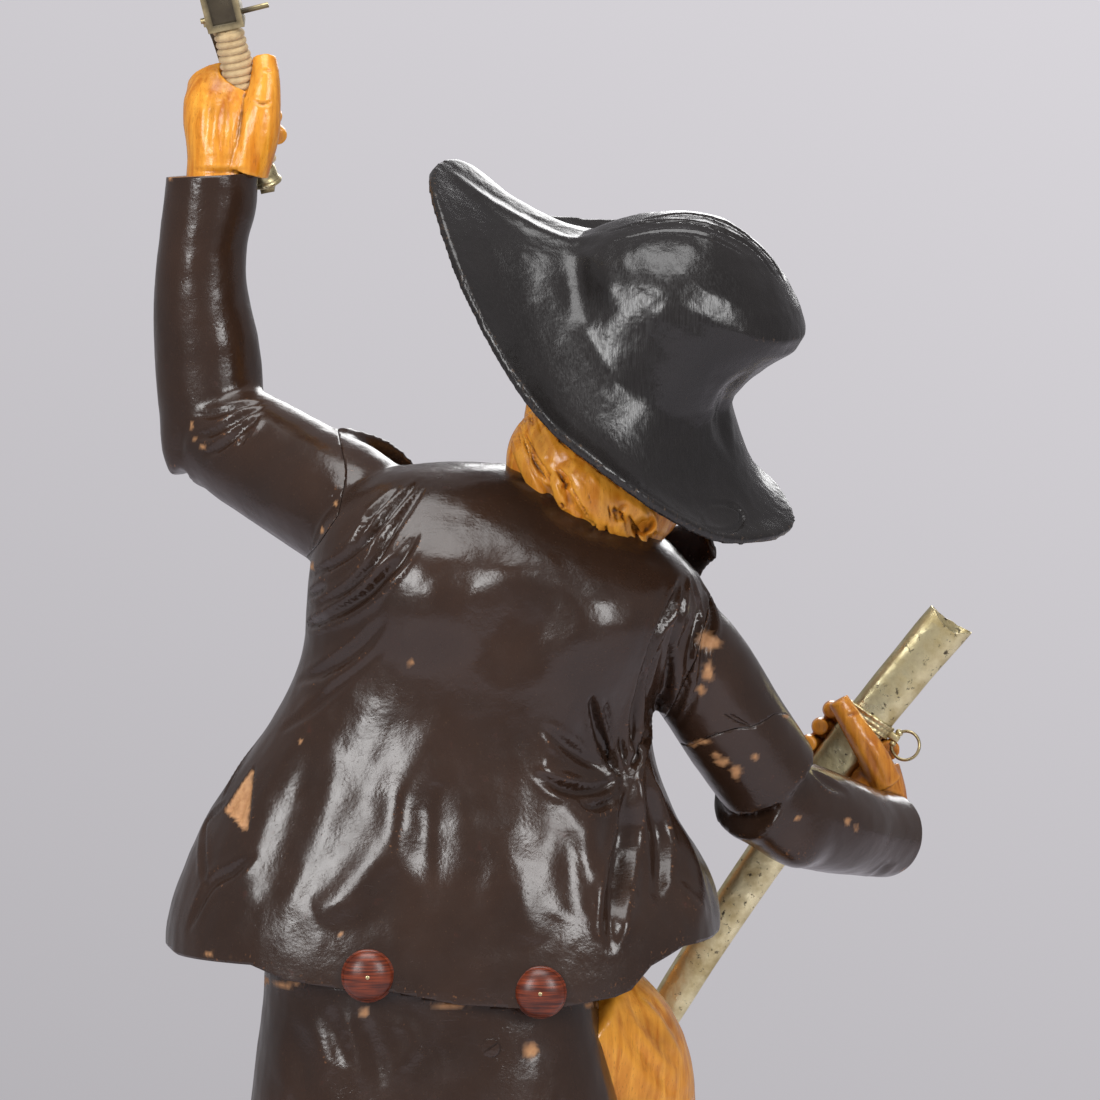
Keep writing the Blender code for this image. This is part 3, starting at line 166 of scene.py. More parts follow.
def loft(rings):
    """A closed skin over rings of points, each as long as the first."""
    bm = bmesh.new()
    ring = bmesh.ops.create_circle(bm, cap_ends=True, segments=len(rings[0]), radius=1)["verts"]
    edges = list(bm.edges)
    for v, p in zip(ring, rings[0]):
        v.co = p
    for points in rings[1:]:
        grown_edges = bmesh.ops.extrude_edge_only(bm, edges=edges)["geom"]
        fresh = {g for g in grown_edges if isinstance(g, bmesh.types.BMVert)}
        edges = [
            g for g in grown_edges
            if isinstance(g, bmesh.types.BMEdge) and g.verts[0] in fresh and g.verts[1] in fresh
        ]
        ring = [next(e.other_vert(v) for e in v.link_edges if e.other_vert(v) in fresh) for v in ring]
        for v, p in zip(ring, points):
            v.co = p
    bmesh.ops.edgeloop_fill(bm, edges=edges)
    bmesh.ops.recalc_face_normals(bm, faces=bm.faces)
    return bm


def oval(centre, across, deep, sides, squareness=2.0):
    """Points round a superellipse with those two half-axes, as vectors."""
    points = []
    for k in range(sides):
        c, s = math.cos(math.tau * k / sides), math.sin(math.tau * k / sides)
        power = 2 / squareness
        wide = across * math.copysign(abs(c) ** power, c)
        points.append(centre + wide + deep * math.copysign(abs(s) ** power, s))
    return points


def stack(rows, squareness=2.2):
    """A body of level rings. A row is x, y, z, half width, half depth and the ring's lean in degrees."""
    rings = []
    for x, y, z, width, depth, lean in smooth_rows(rows, STACK_STEPS):
        tilt = math.radians(lean)
        across = Vector((math.cos(tilt), 0, math.sin(tilt))) * width
        rings.append(oval(Vector((x, y, z)), across, Vector((0, depth, 0)), STACK_SIDES, squareness))
    return loft(rings)


def limb(rows, side=(0, 1, 0), sides=28, steps=6, squareness=2.0, frame=None):
    """A tube along a path. A row is x, y, z and the half-axes square to side and along it."""
    frame = frame or Matrix.Identity(4)
    rows = smooth_rows(rows, steps)
    points = [Vector(r[:3]) for r in rows]
    rings = []
    for i, row in enumerate(rows):
        ahead = (points[min(i + 1, len(rows) - 1)] - points[max(i - 1, 0)]).normalized()
        across = ahead.cross(Vector(side)).normalized()
        deep = across.cross(ahead).normalized()
        ring = oval(points[i], across * row[3], deep * row[4], sides, squareness)
        rings.append([frame @ p for p in ring])
    return loft(rings)


def ball(centre, radii, frame=None, fine=4):
    bm = bmesh.new()
    bmesh.ops.create_icosphere(bm, subdivisions=fine, radius=1)
    place = (frame or Matrix.Identity(4)) @ Matrix.Translation(Vector(centre))
    bmesh.ops.transform(bm, matrix=place @ Matrix.Diagonal((*radii, 1)), verts=bm.verts)
    return bm


def block(low, high, frame=None):
    """A box between two corners of a frame."""
    bm = bmesh.new()
    bmesh.ops.create_cube(bm, size=1)
    low, high = Vector(low), Vector(high)
    place = (frame or Matrix.Identity(4)) @ Matrix.Translation((low + high) / 2)
    bmesh.ops.transform(bm, matrix=place @ Matrix.Diagonal((*(high - low), 1)), verts=bm.verts)
    return bm


def rod(start, end, radius, sides=24):
    start, end = Vector(start), Vector(end)
    axis = end - start
    bm = bmesh.new()
    sizes = {"radius1": radius, "radius2": radius, "depth": axis.length}
    bmesh.ops.create_cone(bm, cap_ends=True, segments=sides, **sizes)
    turn = axis.to_track_quat("Z", "Y").to_matrix().to_4x4()
    bmesh.ops.transform(bm, matrix=Matrix.Translation((start + end) / 2) @ turn, verts=bm.verts)
    return bm


def in_world(bm, matrix=None):
    """A mesh in world metres from a shell in carver's millimetres, or in the frame of a matrix."""
    bmesh.ops.transform(bm, matrix=matrix or TO_WORLD, verts=bm.verts)
    return mesh_of(bm)


# The photograph's view


def sight(px, py):
    """The start and the direction of the line of sight through a pixel."""
    step_right, step_up = (px - PHOTO_SIDE / 2) * PIXEL, (PHOTO_SIDE / 2 - py) * PIXEL
    goal = VIEW_CENTRE + VIEW_RIGHT * step_right + VIEW_UP * step_up
    return VIEW_EYE, (goal - VIEW_EYE).normalized()


def pixels_of(points):
    """The pixel that each of an array of points falls on."""
    away = np.asarray(points, float) - np.array(VIEW_EYE)
    depth = -(away @ np.array(VIEW_BACK))
    scale = VIEW_DISTANCE / (depth * PIXEL)
    px = PHOTO_SIDE / 2 + (away @ np.array(VIEW_RIGHT)) * scale
    py = PHOTO_SIDE / 2 - (away @ np.array(VIEW_UP)) * scale
    return px, py


def roughly(points, size, seed=0.0):
    """Smooth noise from -1 to 1 over an array of points, with features of that size."""
    shift = Vector((seed, seed * 0.7, seed * 1.3))
    return np.array([noise.noise(Vector(p) / size + shift) for p in points])


# Fusing and carving


class Form:
    """A fused body whose skin can be pulled, grooved, raised and chipped."""

    def __init__(self, shells, voxel, soften):
        bm = bmesh.new()
        for shell in shells:
            mesh = mesh_of(shell)
            bm.from_mesh(mesh)
            bpy.data.meshes.remove(mesh)
        obj = new_object("fusing", mesh_of(bm))
        remesh = obj.modifiers.new("Remesh", "REMESH")
        remesh.mode = "VOXEL"
        remesh.voxel_size = voxel
        smooth = obj.modifiers.new("Smooth", "SMOOTH")
        smooth.factor = 0.5
        smooth.iterations = soften
        self.mesh = evaluated(obj)
        bpy.data.objects.remove(obj)
        self.read()

    def read(self):
        count = len(self.mesh.vertices)
        self.points = np.empty(count * 3)
        self.mesh.vertices.foreach_get("co", self.points)
        self.points = self.points.reshape(-1, 3)
        self.normals = np.empty(count * 3)
        self.mesh.vertices.foreach_get("normal", self.normals)
        self.normals = self.normals.reshape(-1, 3)
        self.tree = BVHTree.FromPolygons(
            [tuple(p) for p in self.points], [tuple(f.vertices) for f in self.mesh.polygons]
        )

    def write(self):
        self.mesh.vertices.foreach_set("co", self.points.ravel())
        self.mesh.update()
        self.mesh.vertices.foreach_get("normal", flat := np.empty(self.points.size))
        self.normals = flat.reshape(-1, 3)

    def grab(self, centre, reach, offset):
        """Pulls the skin round a point by an offset, fading to nothing at reach."""
        away = np.linalg.norm(self.points - np.array(centre, float), axis=1) / reach
        weight = np.clip(1 - away**2, 0, 1) ** 2
        self.points += weight[:, None] * np.array(offset, float)

    def under(self, flat, view="photo", frame=None, steps=6):
        """A smooth path on the skin: under pixels, or under (x, z) as seen from a frame's front or back."""
        frame = frame or Matrix.Identity(4)
        path = []
        for a, b in smooth_rows(flat, steps):
            if view == "photo":
                start, aim = sight(a, b)
            else:
                aim = frame.to_3x3() @ Vector((0, 1 if view == "front" else -1, 0))
                start = frame @ Vector((a, 0, b)) - aim * 400
            hit = self.tree.ray_cast(start, aim)[0]
            if hit is not None:
                path.append(tuple(hit))
        return path

    def stroke(self, path, width, depth, taper=0.6, shoulder=0.35):
        """Cuts a groove along a path, or raises a ridge where depth is negative."""
        path = np.array(path, float)
        margin = abs(width) * 4
        near = np.all((self.points > path.min(0) - margin) & (self.points < path.max(0) + margin), axis=1)
        index = np.nonzero(near)[0]
        points = self.points[index]
        nearest = np.full(len(points), 1e9)
        along = np.zeros(len(points))
        spans = len(path) - 1
        for i in range(spans):
            step = path[i + 1] - path[i]
            t = np.clip((points - path[i]) @ step / max(step @ step, 1e-9), 0, 1)
            away = np.linalg.norm(points - path[i] - t[:, None] * step, axis=1)
            closer = away < nearest
            nearest[closer] = away[closer]
            along[closer] = (i + t[closer]) / spans
        fade = np.clip(np.sin(np.pi * along), 0.02, 1) ** taper
        reach = width * (0.5 + 0.5 * fade)
        groove = np.exp(-((nearest / reach) ** 2))
        lips = np.exp(-(((nearest - 1.9 * reach) / (0.8 * reach)) ** 2))
        self.points[index] -= (depth * fade * (groove - shoulder * lips))[:, None] * self.normals[index]

    def carve(self, strokes, view="photo", frame=None, shoulder=0.35):
        """Cuts a table of grooves: flat points, half width and depth."""
        for flat, width, depth in strokes:
            path = self.under(flat, view, frame)
            if len(path) > 1:
                self.stroke(path, width, depth, shoulder=shoulder)
        self.write()

    def unevenness(self, size, height, seed=0.0):
        """The slight waviness that a gouge leaves."""
        self.points += (roughly(self.points, size, seed) * height)[:, None] * self.normals
        self.write()

    def world(self):
        """The form as a mesh in world metres."""
        self.write()
        self.mesh.transform(TO_WORLD)
        return self.mesh


# Cuts between finished pieces, all in world metres


def grown(mesh, by=JOINT_GAP):
    """A copy of a mesh with its skin moved out along its normals."""
    copy = mesh.copy()
    moved = [v.co + v.normal * by for v in copy.vertices]
    for v, co in zip(copy.vertices, moved):
        v.co = co
    return copy


def combined(mesh, tool, operation="DIFFERENCE"):
    obj = new_object("cutting", mesh)
    cutter = new_object("cutter", tool)
    boolean = obj.modifiers.new("Boolean", "BOOLEAN")
    boolean.operation = operation
    boolean.solver = "MANIFOLD"
    boolean.object = cutter
    made = evaluated(obj)
    bpy.data.objects.remove(obj)
    bpy.data.objects.remove(cutter)
    return made


def without(mesh, *others):
    """The mesh less its neighbours, each grown by the gap."""
    for other in others:
        mesh = combined(mesh, grown(other))
    return mesh


def prism(outline, low=-400, high=400):
    """A block whose outline in x and z is a list of carver's points, from y = low to y = high."""
    bm = bmesh.new()
    verts = [bm.verts.new((x, low, z)) for x, z in outline]
    face = bm.faces.new(verts)
    out = bmesh.ops.extrude_face_region(bm, geom=[face])["geom"]
    moved = [g for g in out if isinstance(g, bmesh.types.BMVert)]
    bmesh.ops.translate(bm, verts=moved, vec=(0, high - low, 0))
    bmesh.ops.triangulate(bm, faces=bm.faces)
    bmesh.ops.recalc_face_normals(bm, faces=bm.faces)
    return in_world(bm)


def beyond(point, direction, size=60):
    """A box on the far side of a plane."""
    turn = Vector(direction).to_track_quat("Z", "Y").to_matrix().to_4x4()
    return in_world(block((-size, -size, 0), (size, size, size), Matrix.Translation(Vector(point)) @ turn))


def arrays_of(mesh):
    """A mesh's points in carver's millimetres, its normals and its edges."""
    count = len(mesh.vertices)
    mesh.vertices.foreach_get("co", points := np.empty(count * 3))
    mesh.vertices.foreach_get("normal", normals := np.empty(count * 3))
    mesh.edges.foreach_get("vertices", edges := np.empty(len(mesh.edges) * 2, np.int32))
    points = points.reshape(-1, 3) / MM - np.array((0, FIGURE_BACK, BASE_HEIGHT / MM))
    return points, normals.reshape(-1, 3), edges.reshape(-1, 2)


def hollows_of(points, normals, edges, rounds):
    """How far each point lies under (+) or over (-) the skin smoothed by averaging that often."""
    count = len(points)
    ends = np.concatenate([edges[:, 0], edges[:, 1]])
    others = np.concatenate([edges[:, 1], edges[:, 0]])
    number = np.maximum(np.bincount(ends, minlength=count), 1)
    smooth = points.copy()
    for _ in range(rounds):
        smooth = np.stack([np.bincount(ends, smooth[others, k], count) / number for k in range(3)], axis=1)
    return np.einsum("ij,ij->i", smooth - points, normals)


def paint(mesh, name, values):
    """Stores a number for each point, which the materials read."""
    layer = mesh.attributes.new(name, "FLOAT", "POINT")
    layer.data.foreach_set("value", np.clip(values, 0, 1).astype(np.float32))


def wear_and_shade(mesh, depth=0.5, rounds=14, chips=(), wedge=False):
    """Paints the hollows, which the wood and cord finishes darken as painted shade and the metals as dirt, the
    proud edges, which rub through the lacquer and which the wood finishes lighten as a painted highlight, and
    where chips, or the wedge, show the raw wood.
    """
    points, normals, edges = arrays_of(mesh)
    # Hollow is painted shade on the wood and cord and dirt on the metal; proud is wear on the lacquer and a
    # painted highlight on the wood
    hollow = hollows_of(points, normals, edges, rounds) / depth
    paint(mesh, "hollow", hollow)
    paint(mesh, "proud", -hollow)
    px, py = pixels_of(points)
    bare = np.zeros(len(points))
    facing = normals @ np.array(VIEW_BACK) > 0.05
    for x, y, wide, tall in chips:
        away = np.hypot((px - x) / wide, (py - y) / tall)
        index = np.nonzero((away < 1.6) & facing)[0]
        ragged = 1.25 - away[index] + 0.45 * roughly(points[index], 1.6)
        bare[index] = np.maximum(bare[index], np.clip(ragged * 1.6, 0, 1))
    if wedge:
        shown = np.clip(inside_wedge(points)[2], 0, 1) * (normals @ np.array(VIEW_BACK) > -0.1)
        bare = np.maximum(bare, shown)
    paint(mesh, "bare", bare)


def piece(name, mesh, finish, slot, *nodes, sharp=None):
    """A finished piece in place of those nodes."""
    obj = new_object(name, mesh)
    mesh.name = name
    mesh.materials.clear()
    mesh.materials.append(finish)
    mesh.shade_smooth()
    if sharp:
        mesh.set_sharp_from_angle(angle=math.radians(sharp))
    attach(obj, "root")
    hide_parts(*nodes)
    return obj


# Materials

COLOUR_RESULT = 2  # the output of a mix node that carries a colour


def linear(code):
    """A colour with alpha from an sRGB hex value."""
    shares = [int(code[i : i + 2], 16) / 255 for i in (1, 3, 5)]
    return (*[s / 12.92 if s <= 0.04045 else ((s + 0.055) / 1.055) ** 2.4 for s in shares], 1.0)


def fill(node, inputs):
    """Sets or links a node's inputs by name or number."""
    for key, value in dict(inputs).items():
        if isinstance(value, bpy.types.NodeSocket):
            node.id_data.links.new(value, node.inputs[key])
        else:
            node.inputs[key].default_value = value


def add(tree, kind, inputs=(), out=None, **settings):
    """Adds a node with its settings and inputs, and gives its output of that name, or else its result."""
    made = tree.nodes.new("ShaderNode" + kind)
    for name, value in settings.items():
        setattr(made, name, value)
    fill(made, inputs)
    if out is None:
        out = COLOUR_RESULT if settings.get("data_type") == "RGBA" else 0
    return made.outputs[out]


def blank(name):
    """A new material, its tree and its cleared Principled shader."""
    made = bpy.data.materials.new(name)
    made.use_nodes = True
    return made, made.node_tree, made.node_tree.nodes["Principled BSDF"]


def dark_lacquer():
    """Walnut-stained limewood under aged spirit lacquer: deep gloss, dust pits and bare tan chips."""
    made, tree, shader = blank("DarkLacquer")
    place = add(tree, "TexCoord", out="Object")
    cloud = add(tree, "TexNoise", {"Vector": place, "Scale": 28.0, "Detail": 4.0})
    colour = add(tree, "Mix", {0: cloud, 6: linear("#20150f"), 7: linear("#3a271c")}, data_type="RGBA")
    # Dust and rub marks of about half a millimetre
    dust = add(tree, "TexNoise", {"Vector": place, "Scale": 1400.0, "Detail": 2.0})
    specks = add(tree, "MapRange", {0: dust, 1: 0.68, 2: 0.76, 3: 0.0, 4: 0.16})
    dusted = add(tree, "Mix", {0: specks, 6: colour, 7: linear("#8a6a4c")}, data_type="RGBA")
    # Red-brown ground showing through in blotches of about 8 mm
    blotch = add(tree, "TexNoise", {"Vector": place, "Scale": 120.0, "Detail": 5.0, "Roughness": 0.7})
    ground = add(tree, "MapRange", {0: blotch, 1: 0.64, 2: 0.78, 3: 0.0, 4: 0.40})
    glowing = add(tree, "Mix", {0: ground, 6: dusted, 7: linear("#4a1f12")}, data_type="RGBA")
    # The sharpest edges rub down to the wood in specks
    proud = add(tree, "Attribute", attribute_name="proud", out="Fac")
    grit = add(tree, "TexNoise", {"Vector": place, "Scale": 700.0, "Detail": 3.0})
    rub = add(tree, "Math", {0: proud, 1: grit}, operation="MULTIPLY")
    rubbed = add(tree, "MapRange", {0: rub, 1: 0.62, 2: 0.74, 3: 0.0, 4: 0.5})
    edged = add(tree, "Mix", {0: rubbed, 6: glowing, 7: linear("#8d5f3c")}, data_type="RGBA")
    bare = add(tree, "Attribute", attribute_name="bare", out="Fac")
    grain = add(tree, "TexNoise", {"Vector": place, "Scale": 500.0, "Detail": 4.0})
    wood = add(tree, "Mix", {0: grain, 6: linear("#94623c"), 7: linear("#c99a6a")}, data_type="RGBA")
    coat = add(tree, "Mix", {0: bare, 6: edged, 7: wood}, data_type="RGBA")
    # Brushed-on lacquer isn't evenly glossy
    haze = add(tree, "TexNoise", {"Vector": place, "Scale": 60.0, "Detail": 6.0, "Roughness": 0.65})
    gloss = add(tree, "MapRange", {0: haze, 1: 0.3, 2: 0.75, 3: 0.15, 4: 0.32})
    dull = add(tree, "Mix", {0: bare, 2: gloss, 3: 0.65}, data_type="FLOAT")
    # Waves of 6 mm, pits of 1.2 mm and hair scratches in the lacquer
    waves = add(tree, "TexNoise", {"Vector": place, "Scale": 150.0, "Detail": 3.0})
    swell = add(tree, "Bump", {"Height": waves, "Strength": 0.06, "Distance": 0.004})
    pits = add(tree, "TexNoise", {"Vector": place, "Scale": 750.0, "Detail": 3.0})
    pitted = add(tree, "Bump", {"Height": pits, "Strength": 0.09, "Distance": 0.0007, "Normal": swell})
    turned = add(tree, "Mapping", {"Vector": place, "Rotation": (0.3, 0.5, 0.9), "Scale": (60, 2400, 900)})
    hairs = add(tree, "TexNoise", {"Vector": turned, "Scale": 1.0, "Detail": 1.0})
    scratch = add(tree, "MapRange", {0: hairs, 1: 0.68, 2: 0.76})
    scratches = {"Height": scratch, "Strength": 0.12, "Distance": 0.0003, "Normal": pitted}
    scratched = add(tree, "Bump", scratches, invert=True)
    fill(shader, {"Base Color": coat, "Roughness": dull, "IOR": 1.52, "Normal": scratched})
    return made


def hat_lacquer():
    """Ebonised limewood, rubbed: near black, with grey haze and fine brushing where light catches it."""
    made, tree, shader = blank("HatLacquer")
    place = add(tree, "TexCoord", out="Object")
    cloud = add(tree, "TexNoise", {"Vector": place, "Scale": 35.0, "Detail": 5.0})
    colour = add(tree, "Mix", {0: cloud, 6: linear("#131110"), 7: linear("#242120")}, data_type="RGBA")
    proud = add(tree, "Attribute", attribute_name="proud", out="Fac")
    grit = add(tree, "TexNoise", {"Vector": place, "Scale": 600.0, "Detail": 3.0})
    rub = add(tree, "Math", {0: proud, 1: grit}, operation="MULTIPLY")
    rubbed = add(tree, "MapRange", {0: rub, 1: 0.58, 2: 0.72, 3: 0.0, 4: 0.4})
    edged = add(tree, "Mix", {0: rubbed, 6: colour, 7: linear("#6e5a48")}, data_type="RGBA")
    # Brushing of about 0.4 mm in patches that run two ways
    one = add(tree, "Mapping", {"Vector": place, "Rotation": (0.2, 0.7, 0.4), "Scale": (1800, 1200, 90)})
    two = add(tree, "Mapping", {"Vector": place, "Rotation": (0.1, -0.6, 1.2), "Scale": (1500, 1300, 110)})
    strokes = [
        add(tree, "TexNoise", {"Vector": m, "Scale": 1.0, "Detail": 2.0}) for m in (one, two)
    ]
    patch = add(tree, "TexNoise", {"Vector": place, "Scale": 55.0, "Detail": 2.0})
    which = add(tree, "MapRange", {0: patch, 1: 0.42, 2: 0.58})
    brushed = add(tree, "Mix", {0: which, 2: strokes[0], 3: strokes[1]}, data_type="FLOAT")
    gloss = add(tree, "MapRange", {0: brushed, 1: 0.3, 2: 0.7, 3: 0.17, 4: 0.36})
    waves = add(tree, "TexNoise", {"Vector": place, "Scale": 130.0, "Detail": 3.0})
    swell = add(tree, "Bump", {"Height": waves, "Strength": 0.14, "Distance": 0.004})
    lines = add(tree, "Bump", {"Height": brushed, "Strength": 0.14, "Distance": 0.0004, "Normal": swell})
    fill(shader, {"Base Color": edged, "Roughness": gloss, "IOR": 1.52, "Normal": lines})
    return made


# Features to the metre across and along the grain
WOOD_GRAIN = (260.0, 260.0, 22.0)


def varnished_wood(name, deep, middle, pale):
    """Carved hardwood under clear varnish: fine straight grain, with painted shade darkening the cuts and a
    painted highlight lightening the tops.
    """
    made, tree, shader = blank(name)
    place = add(tree, "TexCoord", out="Object")
    laid = add(tree, "Mapping", {"Vector": place, "Scale": WOOD_GRAIN})
    rings = add(tree, "TexNoise", {"Vector": laid, "Scale": 1.0, "Detail": 3.0, "Distortion": 0.6})
    bands = add(tree, "MapRange", {0: rings, 1: 0.32, 2: 0.68})
    body = add(tree, "Mix", {0: bands, 6: linear(middle), 7: linear(pale)}, data_type="RGBA")
    # Pores of a third of a millimetre, drawn out along the grain
    fine = add(tree, "Mapping", {"Vector": place, "Scale": [g * 9 for g in WOOD_GRAIN]})
    pores = add(tree, "TexNoise", {"Vector": fine, "Scale": 1.0, "Detail": 2.0})
    dots = add(tree, "MapRange", {0: pores, 1: 0.60, 2: 0.72, 3: 0.0, 4: 0.5})
    pored = add(tree, "Mix", {0: dots, 6: body, 7: linear(deep)}, data_type="RGBA")
    stain = add(tree, "TexNoise", {"Vector": place, "Scale": 45.0, "Detail": 4.0})
    cloud = add(tree, "MapRange", {0: stain, 1: 0.5, 2: 0.75, 3: 0.0, 4: 0.55})
    clouded = add(tree, "Mix", {0: cloud, 6: pored, 7: linear(deep)}, data_type="RGBA")
    # Painted shade: the cuts are darkened towards near black brown by how deep they lie
    hollow = add(tree, "Attribute", attribute_name="hollow", out="Fac")
    cuts = add(tree, "MapRange", {0: hollow, 1: 0.20, 2: 0.95, 3: 0.0, 4: 0.80})
    cut = add(tree, "Mix", {0: cuts, 6: clouded, 7: linear("#38200e")}, data_type="RGBA")
    # Painted highlight: the proud tops are lightened towards the pale colour
    proud = add(tree, "Attribute", attribute_name="proud", out="Fac")
    painted_top_highlight = add(tree, "MapRange", {0: proud, 1: 0.1, 2: 0.9, 3: 0.0, 4: 0.55})
    tops_highlighted = add(tree, "Mix", {0: painted_top_highlight, 6: cut, 7: linear(pale)}, data_type="RGBA")
    bump = add(tree, "Bump", {"Height": pores, "Strength": 0.12, "Distance": 0.0004})
    waves = add(tree, "TexNoise", {"Vector": place, "Scale": 320.0, "Detail": 2.0})
    swell = add(tree, "Bump", {"Height": waves, "Strength": 0.15, "Distance": 0.0015, "Normal": bump})
    fill(shader, {"Base Color": tops_highlighted, "Roughness": 0.24, "IOR": 1.5, "Normal": swell})
    return made


def button_wood():
    """Padauk turned across the grain: straight red and near-black bands under shellac."""
    made, tree, shader = blank("ButtonWood")
    place = add(tree, "TexCoord", out="Object")
    laid = add(tree, "Mapping", {"Vector": place, "Rotation": (0, 0.7, 0), "Scale": (90, 90, 1500)})
    rings = add(tree, "TexNoise", {"Vector": laid, "Scale": 1.0, "Detail": 3.0})
    bands = add(tree, "MapRange", {0: rings, 1: 0.35, 2: 0.65})
    body = add(tree, "Mix", {0: bands, 6: linear("#401609"), 7: linear("#7c3418")}, data_type="RGBA")
    stain = add(tree, "TexNoise", {"Vector": place, "Scale": 110.0, "Detail": 3.0})
    cloud = add(tree, "MapRange", {0: stain, 1: 0.52, 2: 0.72, 3: 0.0, 4: 0.5})
    dark = add(tree, "Mix", {0: cloud, 6: body, 7: linear("#220a06")}, data_type="RGBA")
    bump = add(tree, "Bump", {"Height": rings, "Strength": 0.10, "Distance": 0.0003})
    fill(shader, {"Base Color": dark, "Roughness": 0.33, "Normal": bump})
    return made


def aged_metal(name, bright, tarnish, spots, spot_share=0.62):
    """Handled sheet metal: bright where rubbed, dull where tarnished, with dark spots of dirt."""
    made, tree, shader = blank(name)
    place = add(tree, "TexCoord", out="Object")
    wash = add(tree, "TexNoise", {"Vector": place, "Scale": 90.0, "Detail": 5.0, "Roughness": 0.6})
    share = add(tree, "MapRange", {0: wash, 1: 0.35, 2: 0.68})
    body = add(tree, "Mix", {0: share, 6: linear(bright), 7: linear(tarnish)}, data_type="RGBA")
    # Spots of one to three millimetres
    flecks = add(tree, "TexNoise", {"Vector": place, "Scale": 380.0, "Detail": 4.0, "Roughness": 0.65})
    spotted = add(tree, "MapRange", {0: flecks, 1: spot_share, 2: spot_share + 0.08})
    hollow = add(tree, "Attribute", attribute_name="hollow", out="Fac")
    grime = add(tree, "MapRange", {0: hollow, 1: 0.15, 2: 0.8, 3: 0.0, 4: 0.9})
    dirt = add(tree, "Math", {0: spotted, 1: grime}, operation="MAXIMUM")
    colour = add(tree, "Mix", {0: dirt, 6: body, 7: linear(spots)}, data_type="RGBA")
    metal = add(tree, "MapRange", {0: dirt, 1: 0.0, 2: 1.0, 3: 1.0, 4: 0.25})
    gloss = add(tree, "MapRange", {0: wash, 1: 0.3, 2: 0.7, 3: 0.22, 4: 0.5})
    dents = add(tree, "TexNoise", {"Vector": place, "Scale": 220.0, "Detail": 3.0})
    swell = add(tree, "Bump", {"Height": dents, "Strength": 0.2, "Distance": 0.0015})
    pits = add(tree, "Bump", {"Height": flecks, "Strength": 0.15, "Distance": 0.0004, "Normal": swell})
    fill(shader, {"Base Color": colour, "Metallic": metal, "Roughness": gloss, "Normal": pits})
    return made


def jute_cord():
    """Two-ply jute twine: matt, hairy and tan, with its lay drawn as slanting bands and painted shade where its
    surface lies hollow.
    """
    made, tree, shader = blank("JuteCord")
    place = add(tree, "TexCoord", out="Object")
    cloud = add(tree, "TexNoise", {"Vector": place, "Scale": 260.0, "Detail": 4.0})
    colour = add(tree, "Mix", {0: cloud, 6: linear("#9c7a50"), 7: linear("#e6cfa0")}, data_type="RGBA")
    # Painted shade: the cord is darkened where its surface lies hollow
    hollow_shade = add(tree, "Attribute", attribute_name="hollow", out="Fac")
    dark = add(tree, "MapRange", {0: hollow_shade, 1: 0.1, 2: 0.9, 3: 0.0, 4: 0.85})
    shaded = add(tree, "Mix", {0: dark, 6: colour, 7: linear("#4a3014")}, data_type="RGBA")
    laid = add(tree, "Mapping", {"Vector": place, "Rotation": (0.3, 0.4, 0), "Scale": (900, 900, 2600)})
    hairs = add(tree, "TexNoise", {"Vector": laid, "Scale": 1.0, "Detail": 3.0})
    bump = add(tree, "Bump", {"Height": hairs, "Strength": 0.5, "Distance": 0.0006})
    fill(shader, {"Base Color": shaded, "Roughness": 0.85, "Sheen Weight": 0.25, "Normal": bump})
    return made


def finish_named(name):
    """A material that several pieces share, made once."""
    made = bpy.data.materials.get(name)
    return made or FINISHES[name]()


FINISHES = {
    "DarkLacquer": dark_lacquer,
    "HatLacquer": hat_lacquer,
    "HoneyWood": lambda: varnished_wood("HoneyWood", "#7a3c08", "#c87512", "#f0a83c"),
    "RussetWood": lambda: varnished_wood("RussetWood", "#662c0a", "#ac621a", "#dc9436"),
    "ButtonWood": button_wood,
    "AgedBrass": lambda: aged_metal("AgedBrass", "#eae0b6", "#b3a274", "#3e3422", 0.60),
    "AgedSteel": lambda: aged_metal("AgedSteel", "#c6b88e", "#7d6f50", "#2e261c"),
    "JuteCord": jute_cord,
}


# The jacket and its sleeves, fused as one form and parted at the armholes

JACKET_ROWS = (
    (11, 2, 372, 109, 68, 0), (11, 2, 400, 109, 70, 0), (11, 1, 424, 109, 69, 0), (10, 1, 450, 102, 64, 1),
    (8.5, 2, 474, 89.5, 58, 3), (3, 2, 497, 77, 55, 5), (-2.8, 3, 520, 71, 54, 8), (-9, 4, 545, 75, 56, 11),
    (-16, 4, 566, 78, 53, 15), (-26, 2, 581, 70, 44, 18), (-35, 0, 590, 50, 34, 20),
    (-42, 0, 596, 28, 24, 22),
)
LEFT_UPPER_ARM = (
    (34, -2, 578, 25, 27), (50.5, -12, 589, 26, 26), (68, -28, 598, 25, 24),
    (87, -45, 608, 24, 22.5), (101, -58, 615.5, 22.5, 21),
)
LEFT_FOREARM = (
    (103, -60, 604, 18, 18), (105.5, -62, 620, 21, 21), (107.3, -62, 646, 21.8, 21),
    (110, -61, 672, 19.3, 20), (109, -60, 693, 18, 18.5), (106, -60, 710, 19, 18.6),
    (105, -60, 728, 18.4, 18.4),
)
RIGHT_UPPER_ARM = (
    (-70, 0, 552, 24, 26), (-80, -2, 536, 23, 25), (-92, -8, 522, 22.5, 24),
    (-107, -17, 498, 22, 23), (-121, -27, 477, 21.5, 22),
)
RIGHT_FOREARM = (
    (-113, -24, 472, 20.5, 21), (-127, -38, 464, 21.5, 22), (-146, -62, 456, 20.5, 21),
    (-160, -86, 450, 18.5, 18.5), (-176, -113, 445, 17.5, 17.5),
)
LEFT_CUFF = ((105, -60, 720.5), (0.05, 0.0, 1.0))
RIGHT_CUFF = ((-172, -103, 445), (-0.53, -0.84, -0.16))
